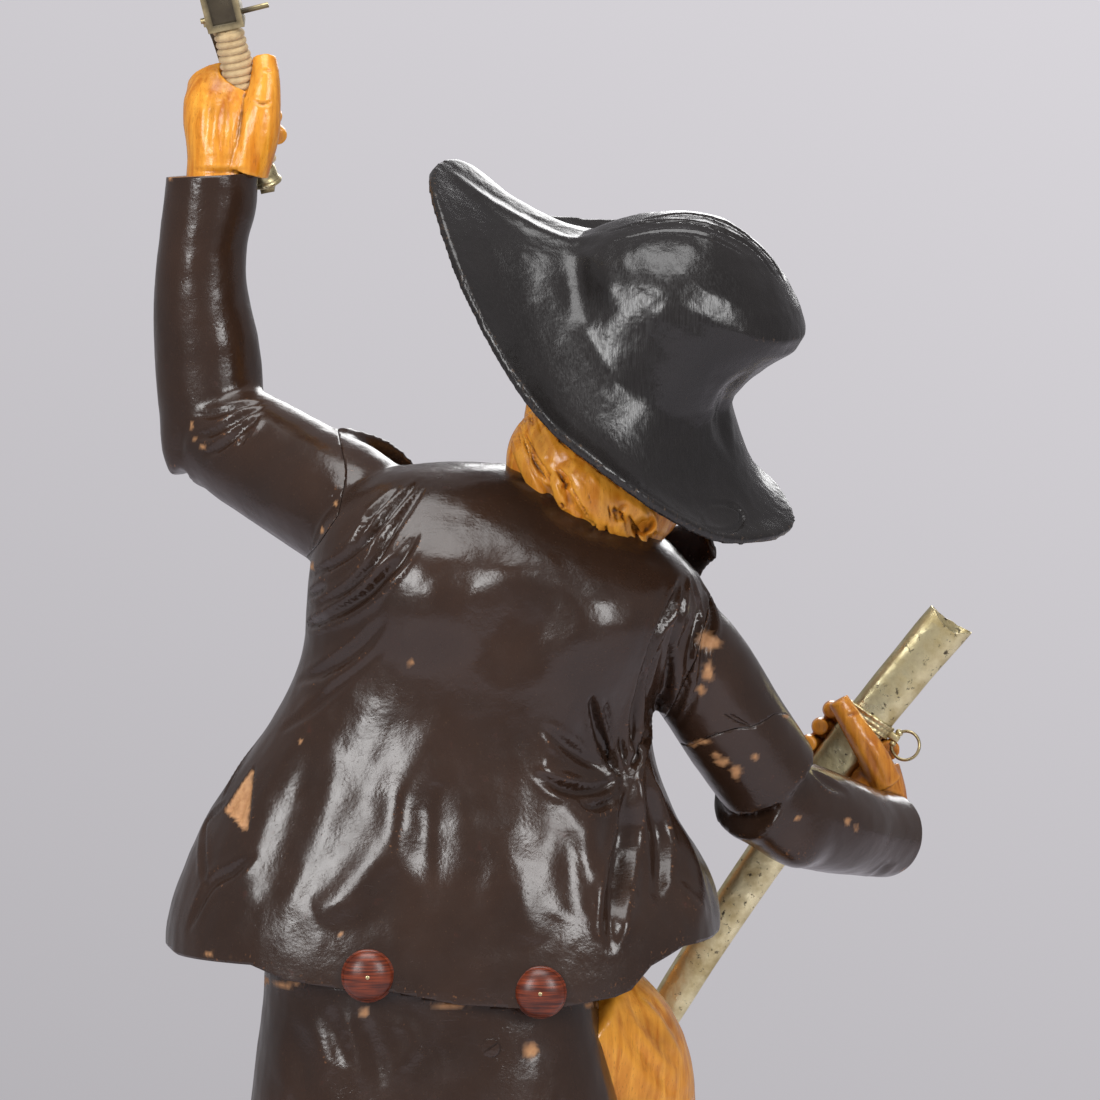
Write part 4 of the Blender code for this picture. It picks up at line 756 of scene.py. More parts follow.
LEFT_ARMHOLE = (
    (56, 628), (49, 604), (52, 588), (60, 576), (68, 566), (90, 530), (190, 530), (190, 800), (56, 800),
)
RIGHT_ARMHOLE = (
    (-104, 590), (-98, 560), (-90, 530), (-80, 508), (-74, 496), (-80, 484), (-88, 472), (-100, 452),
    (-112, 425), (-300, 400), (-300, 640),
)
HEM = (
    (150, 415), (121, 414), (116, 412.3), (86, 412), (72, 406.7), (50, 404), (29.5, 403), (4, 398),
    (-18.7, 396.5), (-38.3, 396.7), (-57.6, 399.6), (-64, 402), (-72, 411), (-85, 417.4), (-99.6, 418.4),
    (-150, 419),
)
FRONT_OPENING = (
    (-26, 605), (-52, 596), (-40, 545), (-50, 470), (-62, 340), (46, 340), (34, 470), (4, 545),
)
OPENING_BACK = -26
LAPELS = (
    ((54, -20, 614, 7.5, 3), (36, -38, 603, 11, 3), (22, -50, 576, 15, 3), (10, -56, 552, 12, 3),
     (-2, -58, 528, 4, 2.5)),
    ((-97, -22, 575, 8, 2), (-84, -38, 566, 14, 3), (-70, -50, 548, 16, 3), (-56, -56, 530, 12, 3),
     (-44, -58, 516, 4, 2.5)),
)
SHIRT_ROWS = (
    (-6, -4, 380, 56, 52, 0), (-6, -4, 410, 58, 54, 0), (-6, -2, 450, 56, 52, 2), (-8, 0, 490, 54, 50, 4),
    (-14, 2, 530, 54, 50, 8), (-22, 2, 560, 52, 46, 12), (-32, 0, 584, 44, 36, 18),
    (-40, -2, 598, 26, 24, 22),
)
JACKET_PULLS = (
    ((118, -6, 414), 40, (2, -4, 0)), ((-96, -30, 424), 44, (-5, -10, 4)), ((-68, 34, 450), 34, (12, -9, 0)),
    ((18, 58, 560), 36, (0, 5, 0)), ((-60, 56, 540), 34, (0, 5, 0)), ((-20, 60, 545), 26, (0, -4, 0)),
    ((-58, 46, 492), 30, (5, -9, 0)), ((121, -64, 604), 22, (2, 0, -3)), ((84, -60, 618), 14, (3, 0, -3)),
    ((-130, -28, 448), 20, (-2, 4, -3)), ((93, 0, 474), 12, (-5, -1, 0)),
)

# Grooves under pixels of the photograph: a path, its half width and its depth in millimetres
LEFT_SHOULDER_FOLDS = (
    (((422, 479), (399, 502), (380, 525), (360, 545), (334, 564), (311, 575)), 1.9, 3.0),
    (((426, 483), (404, 514), (387, 539), (372, 564), (349, 588), (318, 606)), 2.0, 3.2),
    (((418, 533), (402, 558), (385, 575), (364, 596), (337, 613), (305, 627)), 2.3, 3.4),
    (((399, 487), (376, 510), (362, 520)), 1.6, 2.0),
    (((384, 500), (366, 525), (350, 545), (330, 556)), 1.5, 1.6),
    (((384, 621), (356, 651), (320, 673), (298, 680)), 2.4, 1.9),
    (((381, 651), (341, 685), (304, 715), (280, 731)), 2.2, 1.2),
    (((326, 586), (312, 594), (300, 597)), 1.6, 2.0),
    (((330, 618), (314, 624), (302, 628)), 1.6, 2.0),
)
RIGHT_SHOULDER_FOLDS = (
    (((684, 578), (669, 611), (656, 636), (644, 667)), 1.9, 3.0),
    (((687, 578), (681, 611), (672, 642), (667, 673), (664, 700)), 1.8, 3.2),
    (((692, 578), (698, 611), (690, 654), (687, 679), (675, 716)), 1.7, 2.4),
    (((697, 576), (710, 600), (713, 624), (705, 640), (699, 685), (680, 728)), 1.7, 2.4),
    (((644, 667), (635, 716), (636, 762)), 2.0, 3.4),
    (((658, 651), (650, 672), (644, 700)), 1.5, 2.0),
    (((592, 697), (598, 734), (606, 762)), 2.0, 3.2),
    (((604, 700), (608, 730), (616, 760)), 1.4, 1.6),
    (((660, 690), (652, 725), (640, 758)), 1.6, 2.2),
    (((543, 728), (574, 752), (598, 768)), 2.2, 2.0),
)
WAIST_FOLDS = (
    (((590, 700), (600, 738), (614, 765), (625, 775)), 2.0, 3.6),
    (((619, 738), (624, 757), (626, 772)), 1.5, 2.6),
    (((650, 712), (642, 740), (634, 762), (627, 774)), 1.7, 3.0),
    (((535, 774), (565, 789), (598, 790), (624, 777)), 2.3, 3.2),
    (((573, 797), (592, 806), (612, 799), (626, 778)), 2.0, 2.6),
    (((629, 776), (626, 826), (616, 884), (611, 945)), 4.2, 5.2),
    (((648, 770), (652, 800), (660, 850), (656, 900)), 3.4, 2.6),
    (((436, 780), (430, 830), (436, 890)), 8.0, 1.8),
    (((570, 830), (575, 870), (580, 920)), 7.0, 1.6),
    (((310, 740), (300, 790), (280, 850), (262, 910)), 8.0, 1.6),
    (((226, 802), (206, 824), (203, 858), (206, 886)), 1.8, 1.6),
    (((254, 856), (232, 872), (210, 886), (188, 930)), 2.4, 1.8),
    (((254, 745), (236, 772), (222, 800)), 1.2, 1.4),
)
BACK_RIDGES = (
    (((439, 727), (405, 784), (397, 830), (374, 865), (344, 899), (313, 914)), 10.0, -3.2),
    (((497, 830), (512, 880), (539, 945)), 10.0, -2.6),
    (((535, 768), (556, 777), (578, 781)), 3.2, -1.2),
    (((670, 880), (688, 900), (706, 908)), 6.0, -1.6),
)
SLEEVE_FOLDS = (
    (((262, 402), (240, 406), (214, 414), (196, 416)), 1.7, 1.8),
    (((264, 406), (240, 418), (214, 432), (194, 438)), 1.7, 2.2),
    (((262, 412), (244, 428), (222, 446), (204, 456)), 1.6, 2.2),
    (((258, 418), (246, 434), (240, 446)), 1.4, 1.6),
    (((890, 862), (876, 876), (862, 880)), 3.0, 1.4),
    (((812, 770), (826, 782), (846, 792)), 2.4, 1.2),
)
# Where lacquer is gone: pixel, then half width and half height in pixels
JACKET_CHIPS = (
    (411, 662, 1.8, 3.4), (712, 643, 9, 6), (706, 640, 7, 9), (708, 672, 5, 9), (701, 690, 4, 5),
    (670, 828, 1.6, 1.6), (210, 953, 5, 1.6), (228, 958, 5, 1.2), (312, 566, 2, 3),
    (300, 742, 1.2, 2), (341, 935, 1.2, 2),
)
SLEEVE_CHIPS = (
    (192, 426, 1.4, 3), (195, 438, 3, 1.6), (203, 446, 3, 2), (336, 503, 1.6, 2.4), (322, 530, 1.4, 4),
    (722, 762, 7, 4), (736, 772, 5, 7), (716, 755, 4, 3), (755, 757, 3, 3),
    (703, 742, 8, 2.2), (693, 745, 5, 2), (798, 818, 2.6, 1.6), (848, 821, 3, 3), (856, 828, 3, 2),
    (904, 876, 4, 6), (170, 176, 2, 4), (184, 174, 3, 1.6), (786, 716, 3, 1.6),
)
# A wedge of the left side broken out down to chiselled wood: its corners, clockwise in the photograph
BROKEN_WEDGE = ((255, 764), (248, 834), (224, 810))
WEDGE_DEPTH = 2.6
WEDGE_RAMP = 3.0  # pixels over which its edge slopes down
# Cracks between glued blocks, as pixel paths with a width and depth in millimetres
SLEEVE_CRACKS = (
    (((672, 741), (690, 745), (712, 736), (735, 729), (752, 727), (766, 720), (778, 713),
      (792, 716)), 0.7, 1.6),
    (((752, 726), (742, 720), (730, 714)), 0.4, 0.9),
    (((724, 714), (738, 722), (754, 727)), 0.4, 0.9),
)


def inside_wedge(points):
    """The pixels of an array of points, and how many pixels inside the wedge's nearest edge each lies."""
    px, py = pixels_of(points)
    inside = np.full(len(px), 1e9)
    for (ax, ay), (bx, by) in zip(BROKEN_WEDGE, BROKEN_WEDGE[1:] + BROKEN_WEDGE[:1]):
        length = math.hypot(bx - ax, by - ay)
        inside = np.minimum(inside, ((bx - ax) * (py - ay) - (by - ay) * (px - ax)) / length)
    return px, py, inside


def wedge_broken(form):
    """Cuts the broken wedge in with slanting chisel facets."""
    px, py, inside = inside_wedge(form.points)
    facing = form.normals @ np.array(VIEW_BACK) > 0.0
    share = np.clip(inside / WEDGE_RAMP, 0, 1) * facing
    facets = 0.75 + 0.25 * np.sign(np.sin(px * 0.55 + py * 0.22)) * np.clip(inside / 8, 0, 1)
    form.points -= (share * facets * WEDGE_DEPTH)[:, None] * form.normals
    form.write()


def crack(tree, path, width, depth):
    """A thin ragged wedge that follows a path on the skin, to cut with."""
    rings = []
    flat = smooth_rows(path, 4)
    for i, (px, py) in enumerate(flat):
        start, aim = sight(px, py + 0.9 * noise.noise(Vector((i * 0.9, 0, 0))))
        hit = tree.ray_cast(start, aim)[0]
        if hit is None:
            continue
        before, after = flat[max(i - 1, 0)], flat[min(i + 1, len(flat) - 1)]
        along = VIEW_RIGHT * (after[0] - before[0]) + VIEW_UP * (before[1] - after[1])
        across = along.normalized().cross(aim).normalized() * width / 2
        fade = 0.25 + 0.75 * math.sin(math.pi * (i + 0.5) / len(flat))
        out, deep = -aim * 1.5, aim * depth * fade
        edge = across * 0.9
        rings.append([hit + across + out, hit + edge, hit + deep, hit - edge, hit - across + out])
    return in_world(loft(rings))


def make_jacket(settings):
    arms = [limb(rows) for rows in (LEFT_UPPER_ARM, LEFT_FOREARM, RIGHT_UPPER_ARM, RIGHT_FOREARM)]
    lapels = [limb(rows, side=(0.1, 1, 0.2), sides=16) for rows in LAPELS]
    voxel = settings.jacket_grain / MM
    form = Form([stack(JACKET_ROWS, squareness=2.35), *arms, *lapels], voxel, soften=7)
    for pull in JACKET_PULLS:
        form.grab(*pull)
    form.write()
    form.read()
    form.carve(BACK_RIDGES, shoulder=0.0)
    for folds in (LEFT_SHOULDER_FOLDS, RIGHT_SHOULDER_FOLDS, WAIST_FOLDS, SLEEVE_FOLDS):
        form.carve(folds)
    wedge_broken(form)
    form.unevenness(9.0, 0.22)
    form.unevenness(3.2, 0.03, seed=5.0)
    form.read()
    skin = form.tree
    cloth = form.world()
    below_hem = prism((*HEM, (-150, 300), (150, 300)))
    for cutter in (below_hem, beyond(*LEFT_CUFF), beyond(*RIGHT_CUFF)):
        cloth = combined(cloth, cutter)
    left, right = prism(LEFT_ARMHOLE), prism(RIGHT_ARMHOLE)
    sleeves = [combined(cloth.copy(), hole.copy(), "INTERSECT") for hole in (left, right)]
    torso = without(cloth, left, right)
    opening = prism(FRONT_OPENING, low=-200, high=OPENING_BACK)
    torso = combined(torso, grown(opening))
    for path, width, depth in SLEEVE_CRACKS:
        sleeves[1] = combined(sleeves[1], crack(skin, path, width, depth))
    shirt_form = Form([stack(SHIRT_ROWS)], voxel=2.0, soften=3)
    shirt_form.carve(SHIRT_FOLDS, "front")
    shirt = combined(shirt_form.world(), opening, "INTERSECT")
    shirt = combined(shirt, below_hem)
    chips = (*JACKET_CHIPS, *SLEEVE_CHIPS)
    wear_and_shade(torso, chips=chips, wedge=True)
    for sleeve in sleeves:
        wear_and_shade(sleeve, chips=chips)
    wear_and_shade(shirt)
    dark = finish_named("DarkLacquer")
    piece("CarvedJacket", torso, dark, "Jacket", "jacket")
    piece("CarvedSleeveLeft", sleeves[0], dark, "Jacket", "arm_left")
    piece("CarvedSleeveRight", sleeves[1], dark, "Jacket", "arm_right")
    piece("CarvedShirt", shirt, finish_named("HoneyWood"), "LightWood", "shirt")


# Grooves of the shirt, as (x, z) seen from the front
SHIRT_FOLDS = (
    (((-22, 590), (-18, 540), (-14, 480), (-10, 400)), 1.6, 1.6),
    (((-36, 580), (-32, 530), (-38, 470)), 3.0, 1.2),
    (((-6, 560), (2, 510), (10, 460)), 3.0, 1.2),
    (((-28, 460), (-26, 430), (-30, 400)), 3.0, 1.0),
    (((8, 450), (14, 420), (12, 396)), 3.0, 1.0),
)


# The hat: rings in its own frame, x to its left peak, y to its back, z to its crown

RIM = (
    (0, 112.5, 45.6), (18, 104, 37.6), (45, 88, 17), (70, 80, 2.5), (90, 78, -2), (120, 77, -9),
    (140, 80, -11), (160, 84, -6), (172, 84, -3), (186, 74, 0), (205, 56, 2), (220, 45, 17), (235, 50, 43),
    (250, 66, 59), (270, 77, 67), (285, 70, 63), (300, 70, 51), (315, 76, 42.5), (330, 85, 38),
    (347, 106, 48),
)
CROWN_FOOT = (
    (0, 50), (25, 45), (50, 30), (80, 15), (120, 12), (165, 22), (200, 22), (235, 34), (270, 44), (320, 50),
)
CROWN = (
    (10, 56, 36, 54), (20, 54, 36, 51), (32, 52, 37, 48), (44, 50, 41, 46), (54, 47, 46.5, 45),
    (62, 42, 52, 43), (71, 33, 44, 38), (79, 22, 32, 28), (85, 11, 20, 16), (87.5, 2, 9, 5),
)
CROWN_RINGS = (0.12, 0.26, 0.40, 0.54, 0.66, 0.77, 0.87, 0.95, 1.0)
BRIM_THICKNESS = 5.2
BRIM_RINGS = (0.0, 0.2, 0.4, 0.6, 0.8, 1.0)
BRIM_HOLLOW = 3.0
HOLLOW_RINGS = (0.2, 0.6)
HOLLOW_TOP = 8.0
HAT_SIDES = 96
HAT_KNOT = ((-70, 30, -16), 9, (0, 0, -1.5))
HAT_GROOVES = (
    (((640, 220), (690, 214), (735, 228), (768, 256), (784, 282)), 1.3, 1.2),
    (((606, 232), (650, 222), (700, 224), (750, 246), (778, 280)), 1.0, 0.9),
    (((612, 242), (655, 232), (700, 234), (744, 254)), 1.0, 0.7),
    (((700, 512), (712, 504), (730, 505), (742, 514), (738, 527), (722, 531), (706, 526),
      (700, 514)), 1.0, 0.9),
    (((746, 372), (728, 392), (720, 420), (728, 452)), 5.0, 1.6),
    (((560, 250), (580, 290), (610, 320)), 6.0, 1.2),
)
HAT_RIDGES = (
    (((448, 170), (500, 210), (560, 240), (600, 236)), 5.0, -1.6),
    (((660, 300), (690, 340), (700, 400), (690, 450)), 8.0, -1.0),
)


def round_table(table, turn):
    """The values at an angle in degrees of a closed table whose first column is an angle."""
    laps = [(row[0] + lap, *row[1:]) for lap in (-360, 0, 360) for row in table]
    rows = smooth_rows(laps, 6)
    return [float(np.interp(turn, rows[:, 0], rows[:, k])) for k in range(1, rows.shape[1])]


def crown_point(turn, height):
    heights, *columns = zip(*CROWN)
    left, right, deep = [float(np.interp(height, heights, column)) for column in columns]
    across, back = math.cos(math.radians(turn)), math.sin(math.radians(turn))
    return Vector(((left if across > 0 else right) * across, deep * back, height))


def hat_rings():
    turns = [360 * k / HAT_SIDES for k in range(HAT_SIDES)]
    feet = [crown_point(turn, round_table(CROWN_FOOT, turn)[0]) for turn in turns]
    rims = []
    for turn in turns:
        reach, height = round_table(RIM, turn)
        across, back = math.cos(math.radians(turn)), math.sin(math.radians(turn))
        rims.append(Vector((reach * across, reach * back, height)))
    sheet = []
    for share in BRIM_RINGS:
        row = []
        for foot, rim in zip(feet, rims):
            point = foot.lerp(rim, share)
            low = min(foot.z, rim.z)
            point.z = low + (foot.z - low) * (1 - share) ** 1.5 + (rim.z - low) * share**1.5
            point.z -= BRIM_HOLLOW * math.sin(math.pi * share)
            row.append(point)
        sheet.append(row)
    upper, under = [], []
    for j, row in enumerate(sheet):
        before, after = sheet[max(j - 1, 0)], sheet[min(j + 1, len(sheet) - 1)]
        above, below = [], []
        for k, point in enumerate(row):
            round_step = row[(k + 1) % HAT_SIDES] - row[k - 1]
            normal = (after[k] - before[k]).cross(round_step).normalized()
            half = BRIM_THICKNESS / (2 if j < len(sheet) - 1 else 2.6)
            above.append(point + normal * half)
            below.append(point - normal * half)
        upper.append(above)
        under.append(below)
    middle = []
    for share in HOLLOW_RINGS:
        top = Vector((0, 0, HOLLOW_TOP * (1 - share**2)))
        middle.append([Vector((p.x * share, p.y * share, p.z * share**2)) + top for p in under[0]])
    crown = []
    for share in CROWN_RINGS:
        crown.append([crown_point(t, f.z + (CROWN[-1][0] - f.z) * share) for t, f in zip(turns, feet)])
    return [[HAT @ p for p in ring] for ring in (*middle, *under, *reversed(upper), *crown)]


def make_hat(settings):
    form = Form([loft(hat_rings())], settings.hat_grain / MM, soften=9)
    form.grab(*HAT_KNOT)
    form.carve(HAT_RIDGES, shoulder=0.0)
    form.carve(HAT_GROOVES)
    form.unevenness(14.0, 0.35, seed=2.0)
    form.unevenness(4.0, 0.10, seed=7.0)
    felt = form.world()
    wear_and_shade(felt, chips=((770, 238, 2, 3), (784, 300, 1.6, 3), (762, 334, 1.4, 1.4)))
    piece("CarvedHat", felt, finish_named("HatLacquer"), "Hat", "hat")


# The head, in its own frame: x to the man's left, y to the back of his head, z to its crown

NECK = ((-52, 4, 600, 20, 21), (-44, 2, 580, 20, 21), (-36, 2, 562, 21, 22))
NOSE = ((0, -34, 9, 2.8, 3), (0, -38.5, 2, 3.2, 3.2), (0, -42.5, -6.5, 4, 3.8), (0, -38, -11, 4, 3))
HEAD_MASSES = (
    ((0, 4, 10), (32, 37, 34)), ((0, -10, -8), (27, 29, 36)), ((0, -25, -35), (13, 11, 9)),
    ((0, -35, -20.2), (8.4, 3.4, 2.2)), ((0, -34, -24.2), (7, 3.4, 2.4)),
)
SIDE_MASSES = (
    ((4.2, -36, -9.5), (3.2, 3.4, 2.8)), ((11, -29.6, 8.6), (9, 5, 3.4)), ((11, -29, 1), (6, 5.5, 4.6)),
    ((15, -28, -10), (8, 7, 7)),
)
HAIR_MASSES = (
    ((0, 16, -8), (36, 33, 33)), ((6, 28, -26), (32, 23, 20)), ((25, 10, -26), (16, 25, 22)),
    ((2, 34, -36), (22, 18, 14)),
)
# Locks of hair under pixels: each is a ridge that ends in a point over the collar
LOCKS = (
    ((506, 392), (510, 424), (524, 458), (538, 488), (549, 514)),
    ((520, 398), (528, 432), (542, 460), (556, 486), (562, 508)),
    ((534, 412), (546, 442), (560, 466), (576, 492), (588, 516)),
    ((548, 430), (562, 454), (580, 476), (592, 506), (600, 538)),
    ((566, 446), (580, 468), (598, 490), (606, 520), (618, 546)),
    ((584, 462), (600, 484), (616, 504), (622, 528), (634, 552)),
    ((604, 478), (620, 496), (634, 512), (640, 532), (644, 556)),
    ((622, 494), (638, 508), (650, 520), (652, 536)),
)
STRANDS_PER_LOCK = 4
DRILL_HOLES = ((549, 463, 1.3), (591, 478, 1.3), (566, 486, 1.0), (622, 507, 1.6), (643, 524, 3.0))
FACE_GROOVES = (
    (((-17, 5), (-11, 7), (-5, 4)), 0.9, 0.9), (((5, 4), (11, 7), (17, 5)), 0.9, 0.9),
    (((-17, -2), (-11, -4), (-5, -2)), 0.8, 0.9), (((5, -2), (11, -4), (17, -2)), 0.8, 0.9),
    (((-16, 2), (-11, 3.4), (-6, 1.6)), 0.7, 0.7), (((6, 1.6), (11, 3.4), (16, 2)), 0.7, 0.7),
    (((-8, -22), (-3, -21.6), (0, -22.2), (3, -21.6), (8, -22)), 0.8, 1.2),
    (((-7, -28), (0, -29), (7, -28)), 2.0, 1.0),
    (((-2, -14.5), (0, -17.5), (0, -18)), 1.0, 0.6),
)


def comb(form):
    """Cuts the hair into locks and each lock into strands that wave together."""
    for lock in LOCKS:
        path = form.under(lock, steps=8)
        if len(path) > 2:
            form.stroke(path, 3.4, -2.6, taper=0.5, shoulder=0.5)
    form.write()
    for n, lock in enumerate(LOCKS):
        for k in range(STRANDS_PER_LOCK + 1):
            side = (k / STRANDS_PER_LOCK - 0.5) * 2
            flat = []
            for i, (px, py) in enumerate(smooth_rows(lock, 3)):
                share = i / (3 * (len(lock) - 1))
                spread = 7.5 * side * (1 - share**2) + 2.0 * math.sin(share * 7 + n)
                flat.append((px + spread * 0.85, py - spread * 0.5))
            path = form.under(flat, steps=2)
            if len(path) > 2:
                deep = 2.0 if k in (0, STRANDS_PER_LOCK) else 1.3
                form.stroke(path, 0.72, deep, taper=0.3, shoulder=0.4)
        form.write()
    for px, py, radius in DRILL_HOLES:
        hit = form.tree.ray_cast(*sight(px, py))[0]
        if hit is not None:
            away = np.linalg.norm(form.points - np.array(hit), axis=1) / (radius * 1.5)
            form.points -= (np.exp(-(away**4)) * radius * 2.2)[:, None] * np.array(VIEW_BACK)
    form.write()


def make_head(settings):
    shells = [ball(*mass, HEAD) for mass in (*HEAD_MASSES, *HAIR_MASSES)]
    for side in (-1, 1):
        shells += [ball((side * x, y, z), radii, HEAD) for (x, y, z), radii in SIDE_MASSES]
    shells += [limb(NOSE, side=(1, 0, 0), sides=14, frame=HEAD), limb(NECK)]
    form = Form(shells, settings.head_grain / MM, soften=4)
    comb(form)
    form.carve(FACE_GROOVES, "front", HEAD)
    form.unevenness(5.0, 0.08, seed=3.0)
    skull = form.world()
    wear_and_shade(skull, depth=0.8, rounds=10)
    piece("CarvedHead", skull, finish_named("HoneyWood"), "LightWood", "head")


# The hands, in the frames of what they hold: x towards the palm, z along the grip

LEFT_WRIST = ((103, -60, 716, 13, 12), (102, -60, 728, 13.5, 12), (101, -62, 740, 16, 13),
              (101, -66, 752, 16, 12), (103, -72, 760, 13, 10))
LEFT_THUMB = ((92, -57, 722, 10, 10), (87, -56, 738, 9.5, 9), (84.5, -56, 750, 7.5, 7.5),
              (83.5, -57, 760, 6, 6), (84, -60, 768, 5, 5))
LEFT_PALM = ((9, 0, -4), (8, 11, 19))
LEFT_FINGERS = {"first": 14.0, "palm": 14.0, "reach": 12.5, "tip": -3.5, "radius": 4.4, "wrap": 0.64}
RIGHT_WRIST = ((-170, -108, 448, 11, 11), (-169, -111, 462, 11, 11), (-167, -112, 474, 10, 12))
RIGHT_THUMB = ((-171, -104, 468, 7, 7), (-165, -101, 480, 6.4, 6), (-157, -99.5, 493, 5.2, 5),
               (-151, -99.5, 503, 4.4, 4.2))
RIGHT_PALM = ((15, 1, -7), (7, 11, 15))
RIGHT_FINGERS = {"first": 11.0, "palm": 15.0, "reach": 11.0, "tip": 2.0, "radius": 4.2, "wrap": 0.92}
FINGER_STEP = 8.4
FINGER_SHARES = (1.0, 1.06, 1.0, 0.86)
FINGER_SIZES = (1.1, 1.12, 1.0, 1.05, 0.95, 0.78)


def fingers(frame, first, palm, reach, tip, radius, wrap):
    """Four fingers round the far side of a grip, from the palm's side to tips on the other."""
    shells = []
    for n, share in enumerate(FINGER_SHARES):
        z = first - n * FINGER_STEP
        path = (
            (palm * 1.05, 0, z - 1), (palm * 0.9, -0.55 * reach, z), (palm * 0.35, -reach, z),
            (-palm * 0.35, -reach * share, z), (-palm * 0.93 * wrap, -0.5 * reach, z), (-palm * wrap, tip, z),
        )
        rows = [(*p, radius * s, radius * s) for p, s in zip(path, FINGER_SIZES)]
        shells.append(limb(rows, side=(0, 0, 1), sides=18, steps=4, frame=frame))
    return shells


def hand_form(frame, wrist, thumb, palm, digits, grain):
    shells = [limb(wrist), limb(thumb, sides=18), ball(*palm, frame), *fingers(frame, **digits)]
    for shell in shells:
        bmesh.ops.recalc_face_normals(shell, faces=shell.faces)
    return Form(shells, grain, soften=3)


LEFT_HAND_GROOVES = (
    (((206, 150), (208, 120), (212, 92)), 1.6, 0.5), (((222, 156), (224, 124), (226, 98)), 1.6, 0.5),
    (((238, 152), (240, 130), (243, 108)), 1.4, 0.5), (((194, 170), (220, 172), (246, 170)), 1.2, 0.5),
    (((262, 70), (268, 71), (274, 70)), 0.7, 0.5), (((252, 100), (262, 104), (272, 102)), 0.8, 0.6),
)
RIGHT_HAND_GROOVES = (
    (((846, 716), (854, 714), (862, 712)), 0.8, 0.6), (((834, 704), (840, 700), (848, 698)), 0.6, 0.5),
    (((862, 740), (874, 762), (884, 784)), 1.6, 0.5), (((884, 790), (896, 794), (906, 797)), 0.5, 0.6),
)


def make_hands(settings):
    grain = settings.hand_grain / MM
    hilt = [solid_of(name) for name in ("sword_grip", "sword_pommel", "sword_guard")]
    left = hand_form(GRIP, LEFT_WRIST, LEFT_THUMB, LEFT_PALM, LEFT_FINGERS, grain)
    left.carve(LEFT_HAND_GROOVES)
    left.unevenness(3.0, 0.10)
    left_hand = without(left.world(), *hilt)
    mirrored = SCABBARD @ Matrix.Diagonal((-1, 1, 1, 1))
    right = hand_form(mirrored, RIGHT_WRIST, RIGHT_THUMB, RIGHT_PALM, RIGHT_FINGERS, grain)
    right.carve(RIGHT_HAND_GROOVES)
    right.unevenness(3.0, 0.10, seed=4.0)
    sheath = [solid_of(name) for name in ("scabbard", "scabbard_band")]
    right_hand = without(right.world(), *sheath)
    for mesh in (left_hand, right_hand):
        wear_and_shade(mesh, depth=0.5, rounds=10)
    piece("CarvedHandLeft", left_hand, finish_named("HoneyWood"), "LightWood", "hand_left")
    piece("CarvedHandRight", right_hand, finish_named("RussetWood"), "LightWood", "hand_right")


def solid_of(node):
    """A closed copy of a CAD node's mesh."""
    bm = bmesh.new()
    bm.from_mesh(frame["nodes"][node].data)
    bmesh.ops.remove_doubles(bm, verts=bm.verts, dist=1e-7)
    return mesh_of(bm)


# Breeches, stockings and shoes

PELVIS = (
    (14, 0, 408, 62, 42, 0), (14, 0, 394, 64, 44, 0), (12, 0, 372, 68, 46, 0), (8, 0, 350, 66, 46, 0),
    (6, -4, 328, 56, 40, 0), (4, -6, 316, 44, 30, 0),
)
LEFT_THIGH = ((44, 2, 376, 38, 42), (52, 2, 330, 38, 40), (57, -2, 272, 33, 34), (59, -4, 228, 26, 27),
              (59, -5, 212, 21, 22), (59, -5, 204, 21, 22))
RIGHT_THIGH = ((-28, 0, 386, 36, 40), (-46, -18, 360, 43, 40), (-56, -42, 315, 36, 37),
               (-66, -62, 270, 30, 31), (-71, -72, 238, 26, 27), (-72, -73, 218, 21, 22),
               (-72, -73, 209, 21, 22))
LEFT_STOCKING = ((59, -5, 222, 17, 18), (59, -3, 190, 18, 20), (60, 6, 150, 19, 22), (62, 13, 100, 14.5, 17),
                 (64, 17, 60, 11.5, 13), (65, 19, 24, 12, 14))
RIGHT_STOCKING = ((-72, -74, 228, 17, 18), (-72, -74, 200, 18, 20), (-72, -67, 175, 19, 22),
                  (-71, -63, 145, 15, 17.5), (-70, -62, 114, 11.5, 13), (-70, -62, 80, 12, 14))
SHOE = ((0, 26, 12, 8, 13), (0, 17, 15, 14, 20), (0, 2, 17, 16, 25), (0, -20, 14, 17, 19),
        (0, -42, 10, 18, 14), (0, -60, 8, 15, 11), (0, -70, 7, 8, 8))
SHOE_HEEL = ((0, 27, 8, 9, 12), (0, 12, 8, 14, 12), (0, -4, 8, 14, 12))
LEFT_ANKLE = (Vector((65, 19, 0)), math.radians(12))
RIGHT_ANKLE = (Vector((-70, -62, 56)), math.radians(-10))
BREECHES_FOLDS = (
    (((-62, 330), (-78, 336), (-92, 348)), 3.0, 3.0), (((-44, 320), (-60, 290), (-72, 262)), 3.4, 2.8),
    (((-80, 300), (-84, 276), (-82, 250)), 3.0, 2.4), (((84, 330), (78, 290), (74, 240)), 3.4, 2.8),
    (((58, 320), (60, 280), (62, 236)), 3.4, 2.8), (((40, 300), (46, 260), (50, 232)), 3.0, 2.4),
)
FRONT_FOLDS = (
    (((-22, 372), (-34, 352), (-52, 334)), 3.0, 2.0), (((40, 366), (48, 330), (54, 290)), 3.0, 2.0),
    (((60, 330), (66, 290), (66, 240)), 3.4, 2.6), (((-50, 300), (-62, 274), (-70, 246)), 3.4, 2.6),
)
# The thigh that bulges out beside the tails
THIGH_FOLDS = (
    (((626, 992), (640, 1018), (660, 1046), (684, 1072)), 2.4, 0.8),
    (((616, 1008), (634, 1042), (656, 1072), (676, 1094)), 3.0, 1.2),
    (((640, 1000), (660, 1024), (680, 1056)), 3.0, -1.4),
)


